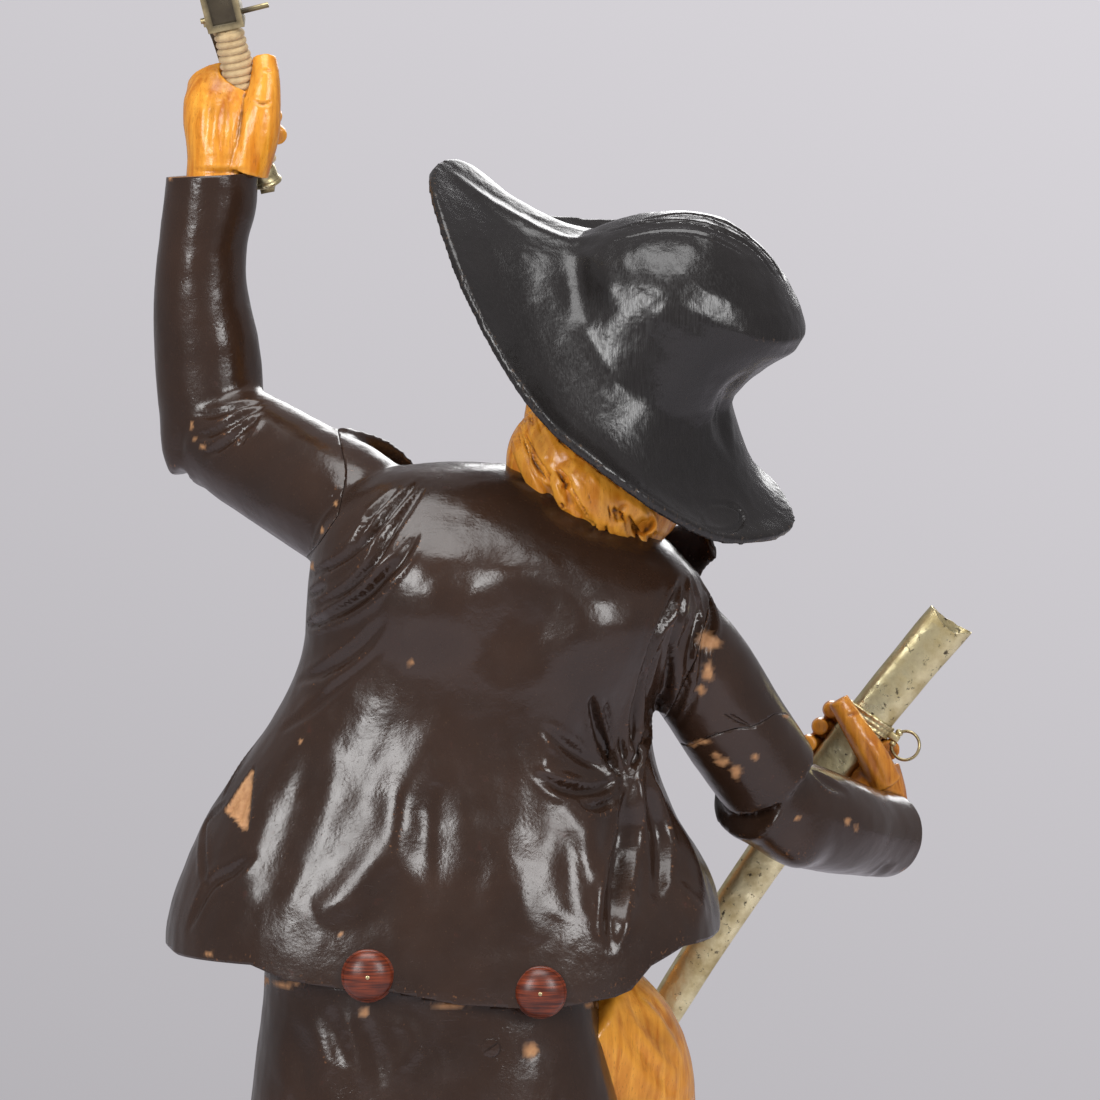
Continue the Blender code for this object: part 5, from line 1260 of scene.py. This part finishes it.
def make_breeches():
    form = Form([stack(PELVIS), limb(LEFT_THIGH), limb(RIGHT_THIGH)], 2.0, soften=5)
    form.carve(BREECHES_FOLDS, "back")
    form.carve(FRONT_FOLDS, "front")
    form.carve(THIGH_FOLDS)
    form.unevenness(8.0, 0.2)
    trousers = without(form.world(), solid_of("jacket"), solid_of("shirt"))
    wear_and_shade(trousers, depth=1.5)
    honey, dark = finish_named("HoneyWood"), finish_named("DarkLacquer")
    piece("CarvedBreeches", trousers, honey, "LightWood", "breeches")
    sides = (("left", LEFT_ANKLE, LEFT_STOCKING, 0.0), ("right", RIGHT_ANKLE, RIGHT_STOCKING, 56.0))
    for side, (ankle, turn), rows, ground in sides:
        leg_form = Form([limb(rows)], 1.6, soften=3)
        leg_form.unevenness(7.0, 0.2)
        leg = without(leg_form.world(), solid_of("breeches"))
        place = Matrix.Translation(ankle) @ Matrix.Rotation(turn, 4, "Z")
        heel = limb(SHOE_HEEL, side=(0, 0, 1), squareness=3.0, frame=place)
        shoe_form = Form([limb(SHOE, side=(0, 0, 1), frame=place), heel], 1.3, soften=4)
        shoe_form.carve(SHOE_GROOVES, "front", place)
        shoe_form.carve(HEEL_GROOVES, "back", place)
        low = in_world(block((-300, -300, ground - 60), (300, 300, ground)))
        shoe = without(shoe_form.world(), low, solid_of(f"leg_{side}"))
        for mesh in (leg, shoe):
            wear_and_shade(mesh)
        piece(f"CarvedLeg{side.title()}", leg, honey, "LightWood", f"leg_{side}")
        piece(f"CarvedShoe{side.title()}", shoe, dark, "Jacket", f"shoe_{side}")


SHOE_GROOVES = ((((-16, 4), (0, 4.4), (16, 4)), 0.8, 0.9), (((-11, 22), (0, 20), (11, 22)), 1.2, 1.0))
HEEL_GROOVES = ((((-12, 7), (0, 7), (12, 7)), 0.8, 0.9),)


# The tails of the coat, hung behind the breeches below the seam

TAIL_ROWS = (
    (15.6, 6, 407, 67.0, 60, 0), (15.6, 6, 392, 67.5, 60, 0), (14, 6, 352, 74, 62, 0),
    (12, 6, 310, 79, 64, 0),
    (10, 6, 262, 84, 68, 0), (10, 6, 238, 86, 70, 0),
)
TAIL_FRONT = 16.0
TAIL_VENT = ((11, 320), (14, 318), (17, 225), (8, 225))
TAIL_HEM = ((140, 262), (70, 250), (14, 244), (-40, 250), (-120, 264), (-120, 200), (140, 200))
TAIL_FOLDS = (
    (((356, 1010), (372, 1050), (384, 1088)), 4.0, 1.1), (((330, 1008), (336, 1040), (352, 1066)), 4.0, 0.9),
    (((398, 1016), (412, 1040), (404, 1070)), 4.0, -0.9), (((430, 1040), (440, 1062), (440, 1092)), 2.4, 0.5),
    (((330, 1040), (346, 1038), (372, 1026)), 0.8, 0.5), (((290, 1020), (300, 1060), (300, 1096)), 6.0, 1.2),
)
LOWER_TAIL_FOLDS = (
    (((70, 360), (76, 320), (80, 270)), 4.0, 3.0), (((-36, 360), (-44, 320), (-50, 270)), 4.0, 3.0),
    (((34, 340), (38, 300), (42, 250)), 4.0, 2.4), (((-10, 330), (-14, 290), (-20, 250)), 4.0, 2.4),
)
PLUG_HOLE = (531, 1051, 2.6)
TAIL_CHIPS = ((531, 1051, 7, 7), (365, 1012, 6, 3), (265, 981, 5, 3), (286, 984, 14, 2.4),
              (452, 1006, 14, 1.6), (590, 1005, 8, 1.4))


def make_tails():
    form = Form([stack(TAIL_ROWS, squareness=2.6)], 1.8, soften=4)
    form.carve(TAIL_FOLDS)
    form.carve(LOWER_TAIL_FOLDS, "back")
    px, py, radius = PLUG_HOLE
    hit = form.tree.ray_cast(*sight(px, py))[0]
    away = np.linalg.norm(form.points - np.array(hit), axis=1) / radius
    form.points[:, 1] -= np.exp(-(away**4)) * 1.6 * (1 + 0.4 * roughly(form.points, 2.0))
    form.unevenness(9.0, 0.22, seed=6.0)
    mesh = combined(form.world(), in_world(block((-200, -200, 0), (200, TAIL_FRONT, 500))))
    for outline in (TAIL_VENT, TAIL_HEM):
        mesh = combined(mesh, prism(outline))
    mesh = without(mesh, solid_of("breeches"), solid_of("jacket"))
    wear_and_shade(mesh, chips=TAIL_CHIPS)
    piece("CarvedTails", mesh, finish_named("DarkLacquer"), "Jacket", "coat_tails")
    tree = BVHTree.FromPolygons([v.co for v in mesh.vertices], [tuple(f.vertices) for f in mesh.polygons])
    start, aim = sight(*SCREW_HEAD)
    hit = tree.ray_cast(TO_WORLD @ start, aim)[0]
    screw = screw_head(hit)
    paint(screw, "hollow", np.zeros(len(screw.vertices)))
    piece("ScrewHead", screw, finish_named("DarkLacquer"), "Jacket", sharp=30)


SCREW_HEAD = (490, 1048)
SCREW_RADIUS = 0.0038


def screw_head(centre):
    """A slotted head lacquered over with the tails, standing a third of a millimetre proud."""
    rings = []
    for share, rise in ((1.0, -0.0006), (1.0, 0.0002), (0.9, 0.0005), (0.4, 0.0006)):
        middle = centre + Vector((0, rise, 0))
        wide = SCREW_RADIUS * share
        rings.append(oval(middle, Vector((wide, 0, 0)), Vector((0, 0, wide)), 32))
    head = mesh_of(loft(rings))
    slot = block((-SCREW_RADIUS * 2, -0.0002, -0.0004), (SCREW_RADIUS * 2, 0.002, 0.0004),
                 Matrix.Translation(centre) @ Matrix.Rotation(math.radians(35), 4, "Y"))
    return combined(head, mesh_of(slot))


# Base

ROCK_ROWS = (
    (-80, -96, -6, 46, 62, 0), (-80, -96, 12, 44, 60, 0), (-79, -96, 34, 39, 57, 0),
    (-79, -96, 50, 34, 54, 0),
    (-79, -96, 58, 29, 50, 0),
)
ROCK_TOP = 56.0
BASE_CHAMFER = 0.005


def make_base():
    """The slab with its rock, gouged into facets."""
    slab = bmesh.new()
    bmesh.ops.create_cube(slab, size=1)
    size = BASE_HIGH - BASE_LOW
    place = Matrix.Translation((0, 0, BASE_HEIGHT / 2)) @ Matrix.Diagonal((size.x, size.y, BASE_HEIGHT, 1))
    bmesh.ops.transform(slab, matrix=place, verts=slab.verts)
    top = [e for e in slab.edges if all(v.co.z > BASE_HEIGHT / 2 for v in e.verts)]
    bmesh.ops.bevel(slab, geom=top, offset=BASE_CHAMFER, segments=4, profile=0.5, affect="EDGES", material=-1)
    form = Form([stack(ROCK_ROWS, squareness=2.6)], 2.0, soften=3)
    cells = roughly(form.points, 22.0, seed=1.0)
    form.points += (np.round(cells * 4) / 4 * 3.2)[:, None] * form.normals * [1, 1, 0]
    form.unevenness(9.0, 0.7, seed=8.0)
    rock = combined(form.world(), in_world(block((-200, -200, ROCK_TOP), (200, 200, 90))))
    rock = combined(rock, in_world(block((-200, -200, -30), (200, 200, -2))))
    mesh = combined(mesh_of(slab), rock, "UNION")
    wear_and_shade(mesh, depth=0.8)
    piece("CarvedBase", mesh, finish_named("DarkLacquer"), "Base", "base", sharp=40)


# Buttons on the seam between jacket and tails

BUTTON_SIDES = 64
# Rise as a share of the node's depth, and share of the radius there
BUTTON_STEPS = (
    (0.0, 0.97), (0.05, 1.0), (0.22, 1.0), (0.27, 0.98), (0.30, 0.95), (0.42, 0.93), (0.58, 0.86),
    (0.75, 0.72),
    (0.88, 0.52), (0.96, 0.30), (1.0, 0.12),
)
NAIL_RADIUS = 0.0009


def make_buttons():
    for node in ("button_left", "button_right"):
        low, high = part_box(node)
        middle = (low + high) / 2
        radius = (high.x - low.x) / 2
        rings = []
        for rise, share in BUTTON_STEPS:
            centre = Vector((middle.x, low.y + (high.y - low.y) * rise, middle.z))
            wide = radius * share
            rings.append(oval(centre, Vector((wide, 0, 0)), Vector((0, 0, wide)), BUTTON_SIDES))
        disc = mesh_of(loft(rings))
        head = Vector((middle.x, high.y - 0.0002, middle.z))
        nail = ball(head, (NAIL_RADIUS, 0.0004, NAIL_RADIUS), fine=3)
        paint(disc, "hollow", np.zeros(len(disc.vertices)))
        name = "Turned" + node.title().replace("_", "")
        piece(name, disc, finish_named("ButtonWood"), "RedWood", node, sharp=40)
        piece(f"{name}Nail", mesh_of(nail), finish_named("AgedSteel"), "Steel")


# Sword, in metres along the grip's frame: z runs from the foot of the grip to the blade

GRIP_LENGTH = 0.062
GRIP_RADIUS = 0.0144 / 2
CORD_RADIUS = 0.00165
CORD_TURNS = 19
CORD_STEPS = 26  # to a turn
POMMEL_RADIUS = 0.0112 / 2
POMMEL_LENGTH = 0.0080
POMMEL_SHAPE = (
    (0, 0.80), (0.06, 0.90), (0.15, 0.94), (0.4, 0.97), (0.62, 1.0), (0.68, 1.05), (0.72, 1.16), (0.80, 1.19),
    (0.9, 1.16), (0.94, 1.05), (1.0, 0.9),
)


def metal_frame(place, up):
    """The frame of a hold in metres, moved along its axis by some carver's millimetres."""
    return Matrix.Translation(TO_WORLD @ place @ Vector((0, 0, up))) @ place.to_3x3().to_4x4()


GRIP_METRES = metal_frame(GRIP, -GRIP_BELOW_HOLD)


def wound_cord():
    """The cord's whole helix as one tube, each turn slanting and a little uneven, over a wooden core."""
    rings = []
    for i in range(CORD_TURNS * CORD_STEPS + 1):
        share = i / (CORD_TURNS * CORD_STEPS)
        turn = math.tau * i / CORD_STEPS
        swell = 0.86 + 0.14 * math.sin(math.pi * min(1, share * 1.15)) ** 0.5
        out = (GRIP_RADIUS - CORD_RADIUS) * swell
        z = CORD_RADIUS + (GRIP_LENGTH - 2 * CORD_RADIUS) * share + 0.0011 * math.sin(turn + 0.6)
        z = min(max(z, CORD_RADIUS), GRIP_LENGTH - CORD_RADIUS)
        spoke = Vector((math.cos(turn), math.sin(turn), 0))
        thick = CORD_RADIUS * (1 + 0.10 * noise.noise(Vector((i * 0.11, 0, 0))))
        rings.append(oval(spoke * out + Vector((0, 0, z)), spoke * thick, Vector((0, 0, thick)), 10))
    return rings


def make_sword():
    tube = loft(wound_cord())
    core = rod((0, 0, 0.0008), (0, 0, GRIP_LENGTH - 0.0008), GRIP_RADIUS - CORD_RADIUS * 1.4)
    tube.from_mesh(mesh_of(core))
    grip = in_world(tube, GRIP_METRES)
    wear_and_shade(grip, depth=0.5, rounds=4)
    piece("WoundGrip", grip, finish_named("JuteCord"), "Cord", "sword_grip")
    rings = []
    for along, share in POMMEL_SHAPE:
        wide = POMMEL_RADIUS * share
        centre = Vector((0, 0, -JOINT_GAP - along * POMMEL_LENGTH))
        rings.append(oval(centre, Vector((wide, 0, 0)), Vector((0, wide, 0)), 48))
    pommel = in_world(loft(rings), GRIP_METRES)
    wear_and_shade(pommel, depth=0.3)
    piece("TurnedPommel", pommel, finish_named("AgedBrass"), "Steel", "sword_pommel", sharp=50)
    steel = finish_named("AgedSteel")
    for node in ("sword_guard", "sword_blade"):
        solid = solid_of(node)
        obj = new_object("softening", solid)
        bevel = obj.modifiers.new("Bevel", "BEVEL")
        bevel.width = 0.00035
        bevel.segments = 2
        bevel.limit_method = "ANGLE"
        bevel.angle_limit = math.radians(35)
        mesh = evaluated(obj)
        bpy.data.objects.remove(obj)
        wear_and_shade(mesh, depth=0.4, rounds=3)
        name = "Wrought" + node.title().replace("_", "")
        piece(name, mesh, steel, "Steel", node, sharp=35)


# Scabbard, in metres along its own frame: z runs up to its mouth

SCABBARD_METRES = metal_frame(SCABBARD, SCABBARD_ABOVE_HOLD)
SCABBARD_LENGTH = 0.304
SCABBARD_WIDTH = 0.0205
SCABBARD_THICKNESS = 0.0100
SCABBARD_WALL = 0.0009
SCABBARD_MOUTH_DEPTH = 0.030
SCABBARD_SAG = 0.0097
SCABBARD_TAPER = 0.60
SCABBARD_STEPS = 60
SCABBARD_SIDES = 56
HOLD_SHARE = SCABBARD_ABOVE_HOLD * MM / SCABBARD_LENGTH
SCOOP = 0.0042  # how far the near lip of the mouth is broken down
LIP_DEPTH = 0.012  # how far down the break reaches
BAND_LENGTH = 0.0058
BAND_THICKNESS = 0.0015
BAND_FROM_MOUTH = 0.054
RING_DIAMETER = 0.0120
RING_WIRE = 0.0013
LUG_LENGTH = 0.0042
LUG_REACH = 0.0027  # from the band's skin to the middle of its bore
LUG = Vector((-SCABBARD_WIDTH / 2 - BAND_THICKNESS - LUG_REACH, 0, -BAND_FROM_MOUTH))
RING_OUT = Vector((-0.92, 0.38, -0.05)).normalized()


def sag_at(share):
    return SCABBARD_SAG * 4 * share * (1 - share)


def scabbard_outline(down, grow=0.0, sides=SCABBARD_SIDES):
    """The scabbard's outline at a distance below its mouth, moved out by grow."""
    along = down / SCABBARD_LENGTH
    share = 1 + (SCABBARD_TAPER - 1) * along
    centre = Vector((sag_at(along) - sag_at(HOLD_SHARE), 0, -down))
    across = Vector((SCABBARD_WIDTH / 2 * share + grow, 0, 0))
    deep = Vector((0, SCABBARD_THICKNESS / 2 * share + grow, 0))
    return oval(centre, across, deep, sides, 2.5)


def lip(points, down):
    """Points of a ring near the mouth, lowered where the lip is scooped and ragged."""
    fade = max(0.0, 1 - down / LIP_DEPTH)
    out = []
    for k, p in enumerate(points):
        turn = math.tau * k / len(points)
        near = math.exp(-(((turn - math.pi / 2 - 0.15) / 0.75) ** 2))
        ragged = 0.0005 * noise.noise(Vector((math.cos(turn) * 4, math.sin(turn) * 4, 3.0)))
        far = 0.0010 * math.exp(-(((turn - 3 * math.pi / 2) / 0.9) ** 2))
        out.append(p - Vector((0, 0, (SCOOP * near + far - ragged) * fade)))
    return out


def make_scabbard():
    rings = [scabbard_outline(SCABBARD_LENGTH + SCABBARD_WIDTH / 4, -SCABBARD_THICKNESS / 4)]
    downs = [SCABBARD_LENGTH * (1 - i / SCABBARD_STEPS) for i in range(SCABBARD_STEPS + 1)]
    for down in downs:
        dents = 0.00022 * noise.noise(Vector((down * 60, 0, 0)))
        rings.append(lip(scabbard_outline(down, dents), down))
    for down in (0.0, 0.004, 0.010, SCABBARD_MOUTH_DEPTH):
        rings.append(lip(scabbard_outline(down, -SCABBARD_WALL), down))
    tube = in_world(loft(rings), SCABBARD_METRES)
    wear_and_shade(tube, depth=0.5, rounds=3)
    brass = finish_named("AgedBrass")
    piece("BrassScabbard", tube, brass, "Brass", "scabbard", sharp=50)
    band = in_world(band_loft(), SCABBARD_METRES)
    wear_and_shade(band, depth=0.25, rounds=4)
    piece("ChasedBand", band, brass, "Brass", "scabbard_band", sharp=60)
    ring = in_world(ring_loft(), SCABBARD_METRES)
    paint(ring, "hollow", np.zeros(len(ring.vertices)))
    piece("WireRing", ring, finish_named("AgedSteel"), "Steel", "scabbard_ring")


BAND_SIDES = 120
BAND_ROWS = 13
BAND_DOMES = 28


def band_loft():
    """The band with a bead at each edge and a field of small domes, and its lug with two balls."""
    half = BAND_LENGTH / 2
    rings = []
    for row in range(BAND_ROWS):
        share = row / (BAND_ROWS - 1)
        down = BAND_FROM_MOUTH - half + BAND_LENGTH * share
        bead = math.exp(-(((min(share, 1 - share) - 0.07) / 0.06) ** 2))
        points = scabbard_outline(down, JOINT_GAP, BAND_SIDES)
        centre = sum(points, Vector()) / len(points)
        ring = []
        for k, p in enumerate(points):
            domes = abs(math.sin(math.pi * k * BAND_DOMES / BAND_SIDES)) * abs(math.sin(share * math.pi * 3))
            rise = BAND_THICKNESS * (0.62 + 0.38 * max(bead, 0.8 * domes * (0.14 < share < 0.86)))
            ring.append(p + (p - centre).normalized() * rise)
        rings.append(ring)
    inner = [scabbard_outline(BAND_FROM_MOUTH + s * half, JOINT_GAP, BAND_SIDES) for s in (1, -1)]
    bm = loft([*inner[1:], *rings, inner[0]])
    caps = [f for f in bm.faces if len(f.verts) > 4]
    bmesh.ops.delete(bm, geom=caps, context="FACES_ONLY")
    rims = [e for e in bm.edges if len(e.link_faces) == 1]
    bmesh.ops.bridge_loops(bm, edges=rims)
    bmesh.ops.recalc_face_normals(bm, faces=bm.faces)
    wide = RING_WIRE * 0.8 + 0.0011
    tall = half * 0.55
    inner_corner, outer_corner = Vector((LUG_LENGTH / 2, wide, tall)), Vector((LUG_LENGTH * 0.7, wide, tall))
    lug = block(LUG - inner_corner, LUG + outer_corner)
    bmesh.ops.bevel(lug, geom=lug.edges[:], offset=0.0007, segments=3, profile=0.5, affect="EDGES", material=-1)
    extras = [lug]
    for side in (-1, 1):
        extras.append(ball(LUG + Vector((-0.0006, 0, side * 0.0026)), (0.0017, 0.0017, 0.0015), fine=3))
    for extra in extras:
        bm.from_mesh(mesh_of(extra))
    return bm


def ring_loft():
    """A wire ring through the lug."""
    along = (Vector((0, 0, 1)) - RING_OUT * RING_OUT.z).normalized()
    flat = RING_OUT.cross(along)
    middle = LUG + RING_OUT * RING_DIAMETER / 2
    bm = bmesh.new()
    spoke = RING_OUT * RING_DIAMETER / 2
    circle = bmesh.ops.create_circle(bm, segments=16, radius=RING_WIRE / 2)["verts"]
    turn = Matrix([spoke.normalized(), flat, along]).transposed().to_4x4()
    bmesh.ops.transform(bm, matrix=Matrix.Translation(middle + spoke) @ turn, verts=circle)
    bmesh.ops.spin(bm, geom=bm.verts[:] + bm.edges[:], cent=middle, axis=flat, angle=math.tau, steps=64,
                   use_merge=True, use_duplicate=False)
    bmesh.ops.recalc_face_normals(bm, faces=bm.faces)
    return bm


# Floor, light and camera

FLOOR_RADIUS = 2.3
SENSOR_WIDTH = 36


def make_stage(settings):
    bm = bmesh.new()
    bmesh.ops.create_circle(bm, cap_ends=True, segments=128, radius=FLOOR_RADIUS)
    floor = new_object("Floor", mesh_of(bm))
    paper, _, shader = blank("PaleFloor")
    fill(shader, {"Base Color": linear("#c9c5cc"), "Roughness": 0.8})
    floor.data.materials.append(paper)
    world = bpy.data.worlds.new("Studio")
    world.use_nodes = True
    tree = world.node_tree
    # Painted shade: the seamless paper as the camera sees it darkens downwards and to the left, and it lights
    # the figure less than it shows
    looking = add(tree, "TexCoord", out="Generated")
    axes = add(tree, "SeparateXYZ", {0: looking}).node
    rise = add(tree, "MapRange", {0: axes.outputs[2], 1: -0.137, 2: 0.0, 3: 0.76, 4: 1.0})
    side = add(tree, "MapRange", {0: axes.outputs[0], 1: 0.07, 2: -0.07, 3: 0.885, 4: 1.0})
    shade = add(tree, "Math", {0: rise, 1: side}, operation="MULTIPLY")
    seen = add(tree, "LightPath", out="Is Camera Ray")
    strength = add(tree, "Mix", {0: seen, 2: settings.fill_light, 3: shade}, data_type="FLOAT")
    fill(tree.nodes["Background"], {"Color": (*settings.backdrop_colour, 1.0), "Strength": strength})
    bpy.context.scene.world = world
    for name, place, goal, wide, tall, power in LAMPS:
        lamp = bpy.data.lights.new(name, "AREA")
        lamp.shape = "RECTANGLE"
        lamp.size, lamp.size_y = wide, tall
        lamp.energy = power
        obj = bpy.data.objects.new(name, lamp)
        obj.location = place
        obj.rotation_euler = (Vector(goal) - Vector(place)).to_track_quat("-Z", "Y").to_euler()
        bpy.context.scene.collection.objects.link(obj)
    camera = bpy.data.objects.new("PhotoView", bpy.data.cameras.new("PhotoView"))
    bpy.context.scene.collection.objects.link(camera)
    camera.location = TO_WORLD @ VIEW_EYE
    camera.rotation_euler = (-VIEW_BACK).to_track_quat("-Z", "Y").to_euler()
    camera.data.sensor_width = SENSOR_WIDTH
    camera.data.lens = SENSOR_WIDTH * VIEW_DISTANCE / (PHOTO_SIDE * PIXEL)
    camera.data.clip_end = 50
    bpy.context.scene.camera = camera
    bpy.context.scene.view_settings.view_transform = "Standard"


# Name, place, goal, width, height and power of each soft box
LAMPS = (
    ("SoftBoxLeft", (1.6, 2.4, 1.6), (0, 0, 0.6), 0.95, 1.3, 44),
    ("SoftBoxRight", (-1.65, 2.3, 1.6), (-0.05, 0, 0.6), 0.95, 1.3, 38),
    ("SoftBoxTop", (0.1, 0.6, 2.6), (0, 0, 0.5), 1.6, 1.4, 34),
    ("SoftBoxFront", (-0.6, -2.6, 1.6), (0, 0, 0.5), 1.2, 1.2, 20),
)


# Add-on


class CarvingSettings(bpy.types.PropertyGroup):
    """What a user would change about the carving and its light."""

    jacket_grain: bpy.props.FloatProperty(
        name="Jacket grain", description="Size of the cells that the jacket is carved in",
        default=1.5 * MM, min=0.8 * MM, max=4 * MM, subtype="DISTANCE", unit="LENGTH")
    hat_grain: bpy.props.FloatProperty(
        name="Hat grain", description="Size of the cells that the hat is carved in",
        default=1.15 * MM, min=0.8 * MM, max=4 * MM, subtype="DISTANCE", unit="LENGTH")
    head_grain: bpy.props.FloatProperty(
        name="Head grain", description="Size of the cells that the head and hair are carved in",
        default=0.68 * MM, min=0.5 * MM, max=3 * MM, subtype="DISTANCE", unit="LENGTH")
    hand_grain: bpy.props.FloatProperty(
        name="Hand grain", description="Size of the cells that the hands are carved in",
        default=0.65 * MM, min=0.4 * MM, max=2 * MM, subtype="DISTANCE", unit="LENGTH")
    backdrop_colour: bpy.props.FloatVectorProperty(
        name="Backdrop", description="Colour of the backdrop at its brightest corner",
        default=linear("#d9d6db")[:3], min=0.0, max=1.0, size=3, subtype="COLOR")
    fill_light: bpy.props.FloatProperty(
        name="Fill light", description="Share of the backdrop's brightness that falls on the figure",
        default=0.45, min=0.0, max=1.0, subtype="FACTOR")


class CARVING_OT_jacket(bpy.types.Operator):
    """Carve the jacket, its sleeves and the shirt"""

    bl_idname = "carving.jacket"
    bl_label = "Jacket"

    def execute(self, context):
        make_jacket(context.scene.carving)
        return {"FINISHED"}


class CARVING_OT_hat(bpy.types.Operator):
    """Carve the hat"""

    bl_idname = "carving.hat"
    bl_label = "Hat"

    def execute(self, context):
        make_hat(context.scene.carving)
        return {"FINISHED"}


class CARVING_OT_head(bpy.types.Operator):
    """Carve the head and its hair"""

    bl_idname = "carving.head"
    bl_label = "Head"

    def execute(self, context):
        make_head(context.scene.carving)
        return {"FINISHED"}


class CARVING_OT_hands(bpy.types.Operator):
    """Carve both hands"""

    bl_idname = "carving.hands"
    bl_label = "Hands"

    def execute(self, context):
        make_hands(context.scene.carving)
        return {"FINISHED"}


class CARVING_OT_breeches(bpy.types.Operator):
    """Carve the breeches, the stockings and the shoes"""

    bl_idname = "carving.breeches"
    bl_label = "Breeches, stockings and shoes"

    def execute(self, context):
        make_breeches()
        return {"FINISHED"}


class CARVING_OT_tails(bpy.types.Operator):
    """Carve the coat's tails with their screw head"""

    bl_idname = "carving.tails"
    bl_label = "Coat tails"

    def execute(self, context):
        make_tails()
        return {"FINISHED"}


class CARVING_OT_base(bpy.types.Operator):
    """Carve the base and its rock"""

    bl_idname = "carving.base"
    bl_label = "Base"

    def execute(self, context):
        make_base()
        return {"FINISHED"}


class CARVING_OT_buttons(bpy.types.Operator):
    """Turn the two buttons"""

    bl_idname = "carving.buttons"
    bl_label = "Buttons"

    def execute(self, context):
        make_buttons()
        return {"FINISHED"}


class CARVING_OT_sword(bpy.types.Operator):
    """Wind the grip and dress the sabre's metal"""

    bl_idname = "carving.sword"
    bl_label = "Sabre"

    def execute(self, context):
        make_sword()
        return {"FINISHED"}


class CARVING_OT_scabbard(bpy.types.Operator):
    """Make the scabbard, its band and its ring"""

    bl_idname = "carving.scabbard"
    bl_label = "Scabbard"

    def execute(self, context):
        make_scabbard()
        return {"FINISHED"}


class CARVING_OT_stage(bpy.types.Operator):
    """Set up the floor, the soft boxes and the camera"""

    bl_idname = "carving.stage"
    bl_label = "Stage"

    def execute(self, context):
        make_stage(context.scene.carving)
        return {"FINISHED"}


OPERATORS = (
    CARVING_OT_jacket, CARVING_OT_hat, CARVING_OT_head, CARVING_OT_hands, CARVING_OT_breeches,
    CARVING_OT_tails, CARVING_OT_base, CARVING_OT_buttons, CARVING_OT_sword, CARVING_OT_scabbard,
    CARVING_OT_stage,
)


class CARVING_PT_panel(bpy.types.Panel):
    """Lists the carving's pieces and settings"""

    bl_idname = "CARVING_PT_panel"
    bl_label = "Carved Freedom Fighter"
    bl_space_type = "VIEW_3D"
    bl_region_type = "UI"
    bl_category = "Carving"

    def draw(self, context):
        for name in CarvingSettings.__annotations__:
            self.layout.prop(context.scene.carving, name)
        for operator in OPERATORS:
            self.layout.operator(operator.bl_idname)


CLASSES = (CarvingSettings, *OPERATORS, CARVING_PT_panel)


def register():
    for cls in CLASSES:
        bpy.utils.register_class(cls)
    bpy.types.Scene.carving = bpy.props.PointerProperty(type=CarvingSettings)


def unregister():
    del bpy.types.Scene.carving
    for cls in reversed(CLASSES):
        bpy.utils.unregister_class(cls)


def main():
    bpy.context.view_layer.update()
    register()
    bpy.ops.carving.stage()
    bpy.ops.carving.jacket()
    bpy.ops.carving.hat()
    bpy.ops.carving.head()
    bpy.ops.carving.hands()
    bpy.ops.carving.breeches()
    bpy.ops.carving.tails()
    bpy.ops.carving.base()
    bpy.ops.carving.buttons()
    bpy.ops.carving.sword()
    bpy.ops.carving.scabbard()


if __name__ == "__main__":
    main()
